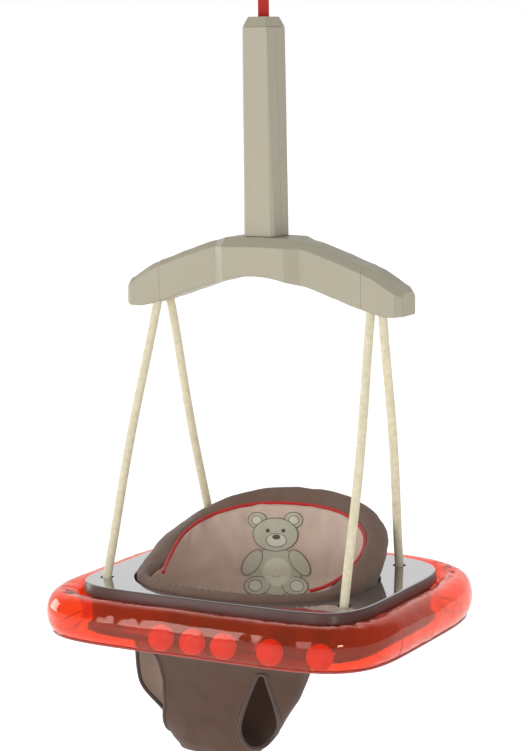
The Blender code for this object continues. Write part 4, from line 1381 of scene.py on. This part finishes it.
BEAR_WIDEN = 1.2
BEAR_AZIMUTH = 0.46            # the way it faces, round from the front
BEAR_TILT = 0.2                # and how far it looks up
FELT_STEP = 0.45 * MM          # from one layer of patches to the next
FELT = 0.5 * MM
FELT_CROWN = 0.9 * MM
EDGE_LIFT = 0.35 * MM          # of the stitched line round a patch
EDGE_RADIUS = 0.42 * MM


def sew_bear(lining):
    """Projects the patches on the lining and edges each with a stitched line."""
    toward = heading(BEAR_AZIMUTH, BEAR_TILT)
    right = toward.cross(UP).normalized()
    up = right.cross(toward)

    def on_lining(across, rise, lift):
        start = BEAR_MIDDLE + (right * across * BEAR_WIDEN + up * rise) * MM
        hit = lining.ray_cast(start, toward)[0]
        return hit - toward * lift

    finishes = {"felt": MOTIF, "pale": MOTIF_PALE, "thread": DARK_THREAD}
    for name, across, rise, half_x, half_y, turn, layer, felt in BEAR:
        spin = math.radians(turn)

        def place(reach, angle, lift):
            x, y = reach * half_x * math.cos(angle), reach * half_y * math.sin(angle)
            return on_lining(across + x * math.cos(spin) - y * math.sin(spin),
                             rise + x * math.sin(spin) + y * math.cos(spin), lift)

        rows = []
        for reach in (1.0, 0.98, 0.93, 0.84, 0.7, 0.52, 0.32, 0.12):
            lift = FELT_STEP * layer + FELT_CROWN * (1 - reach ** 4) ** 0.5
            rows.append([place(reach, angle, lift) for angle in turns(AROUND)])
        patch = skin("bear_" + name, rows, finishes[felt], caps="last", smooth_angle=180)
        thicken(patch, "felt", FELT)
        apply_modifiers(patch)
        edge = [place(0.985, angle, FELT_STEP * layer + EDGE_LIFT) for angle in turns(90)]
        stitch = tube("bear_stitch_" + name, edge, EDGE_RADIUS, DARK_THREAD, sides=6, closed=True)
        on_seat(patch)
        on_seat(stitch)


def make_bag():
    """Cloth of the seat, from the piping down the inside of the collar, then down the bag."""
    rows = [upper_row(level / UPPER_ROWS) for level in range(UPPER_ROWS)]
    rows += [lower_row(level / LOWER_ROWS) for level in range(LOWER_ROWS + 1)]
    bag = skin("seat_bag_cloth", rows, [BAG_BROWN, LINING], smooth_angle=180)
    shape = bmesh.new()
    shape.from_mesh(bag.data)
    bottom = [edge for edge in shape.edges if edge.is_boundary
              and max(vert.co.z for vert in edge.verts) < above_tray(-200 * MM)]
    bmesh.ops.edgeloop_fill(shape, edges=bottom)
    edges = {}
    for side, leg in (("left", LEFT_LEG), ("right", RIGHT_LEG)):
        edges[side] = cut_by_level(shape, leg_level(leg))
    shape.verts.index_update()
    paths = {side: [vert.co.copy() for vert in ordered_loop(verts)] for side, verts in edges.items()}
    bmesh.ops.recalc_face_normals(shape, faces=shape.faces)
    shape.to_mesh(bag.data)
    shape.free()
    wall = thicken(bag, "cloth", CLOTH)
    wall.material_offset = 1
    wall.use_rim = True
    apply_modifiers(bag)
    # Painted shade: inner faces low on the right take the darker bag brown, partly for unlined cloth and
    # partly for shade in the right leg hole
    for face in bag.data.polygons:
        if face.center.z < above_tray(BROWN_AND_SHADE_BELOW) and face.center.x > BROWN_AND_SHADE_FROM:
            face.material_index = 0
    stand_for(bag, "seat_bag", SEAT)
    cloth = BVHTree.FromPolygons([vert.co.copy() for vert in bag.data.vertices],
                                 [tuple(face.vertices) for face in bag.data.polygons])
    for side, path in paths.items():
        finish_leg_hole(side, path, cloth)
    sew_bear(cloth)


def finish_leg_hole(side, path, cloth):
    """Binding round a leg hole, and a row of stitches a little outside it."""
    curve = smooth_curve(path[::3], 4, closed=True)
    on_seat(tube("leg_binding_" + side, curve, BINDING_RADIUS, BINDING, sides=14, closed=True))
    middle = sum(path, Vector()) / len(path)
    line = []
    for point in curve:
        near, normal, _, _ = cloth.find_nearest(point + (point - middle).normalized() * STITCH_INSET)
        line.append(near + normal * STITCH_LIFT)
    sew_row("leg_topstitch_" + side, line, BROWN_THREAD)


def sew_row(name, line, finish):
    """Separate stitches of thread along a line, joined in one mesh."""
    lengths = running_lengths(line, False)
    shape = bmesh.new()
    index = 0
    for number in range(int(lengths[-1] / STITCH_PITCH)):
        ends = []
        for along in (number * STITCH_PITCH, number * STITCH_PITCH + STITCH_LENGTH):
            while lengths[index + 1] < along and index < len(line) - 2:
                index += 1
            share = (along - lengths[index]) / max(lengths[index + 1] - lengths[index], 1e-9)
            ends.append(line[index].lerp(line[index + 1], min(share, 1.0)))
        along = ends[1] - ends[0]
        if not 0 < along.length < 2 * STITCH_LENGTH:
            continue
        stitch = bmesh.ops.create_icosphere(shape, subdivisions=1, radius=1.0)
        turn = along.to_track_quat("X", "Z").to_matrix()
        for vert in stitch["verts"]:
            sized = vert.co * STITCH_RADIUS
            sized.x = vert.co.x * along.length / 2
            vert.co = (ends[0] + ends[1]) / 2 + turn @ sized
    mesh = bpy.data.meshes.new(name)
    shape.to_mesh(mesh)
    shape.free()
    on_seat(finish_mesh(name, mesh, finish, 180))


def make_piping():
    reach = PIPING_REACH - 4
    path = []
    steps = 150
    for step in range(steps + 1):
        degrees = 90 - reach + 2 * reach * step / steps
        point, _ = piping_point(math.radians(degrees))
        path.append(point + UP * PIPING_LIFT)
    on_seat(tube("seat_piping", path, PIPING_RADIUS, PIPING, sides=14))


def main():
    make_camera()
    make_studio()
    make_ropes()
    dress_nodes()
    make_tower()
    make_yoke()
    make_spring()
    make_strap()
    make_tray()
    make_ring()
    make_balls()
    make_collar()
    make_bag()
    make_piping()


main()
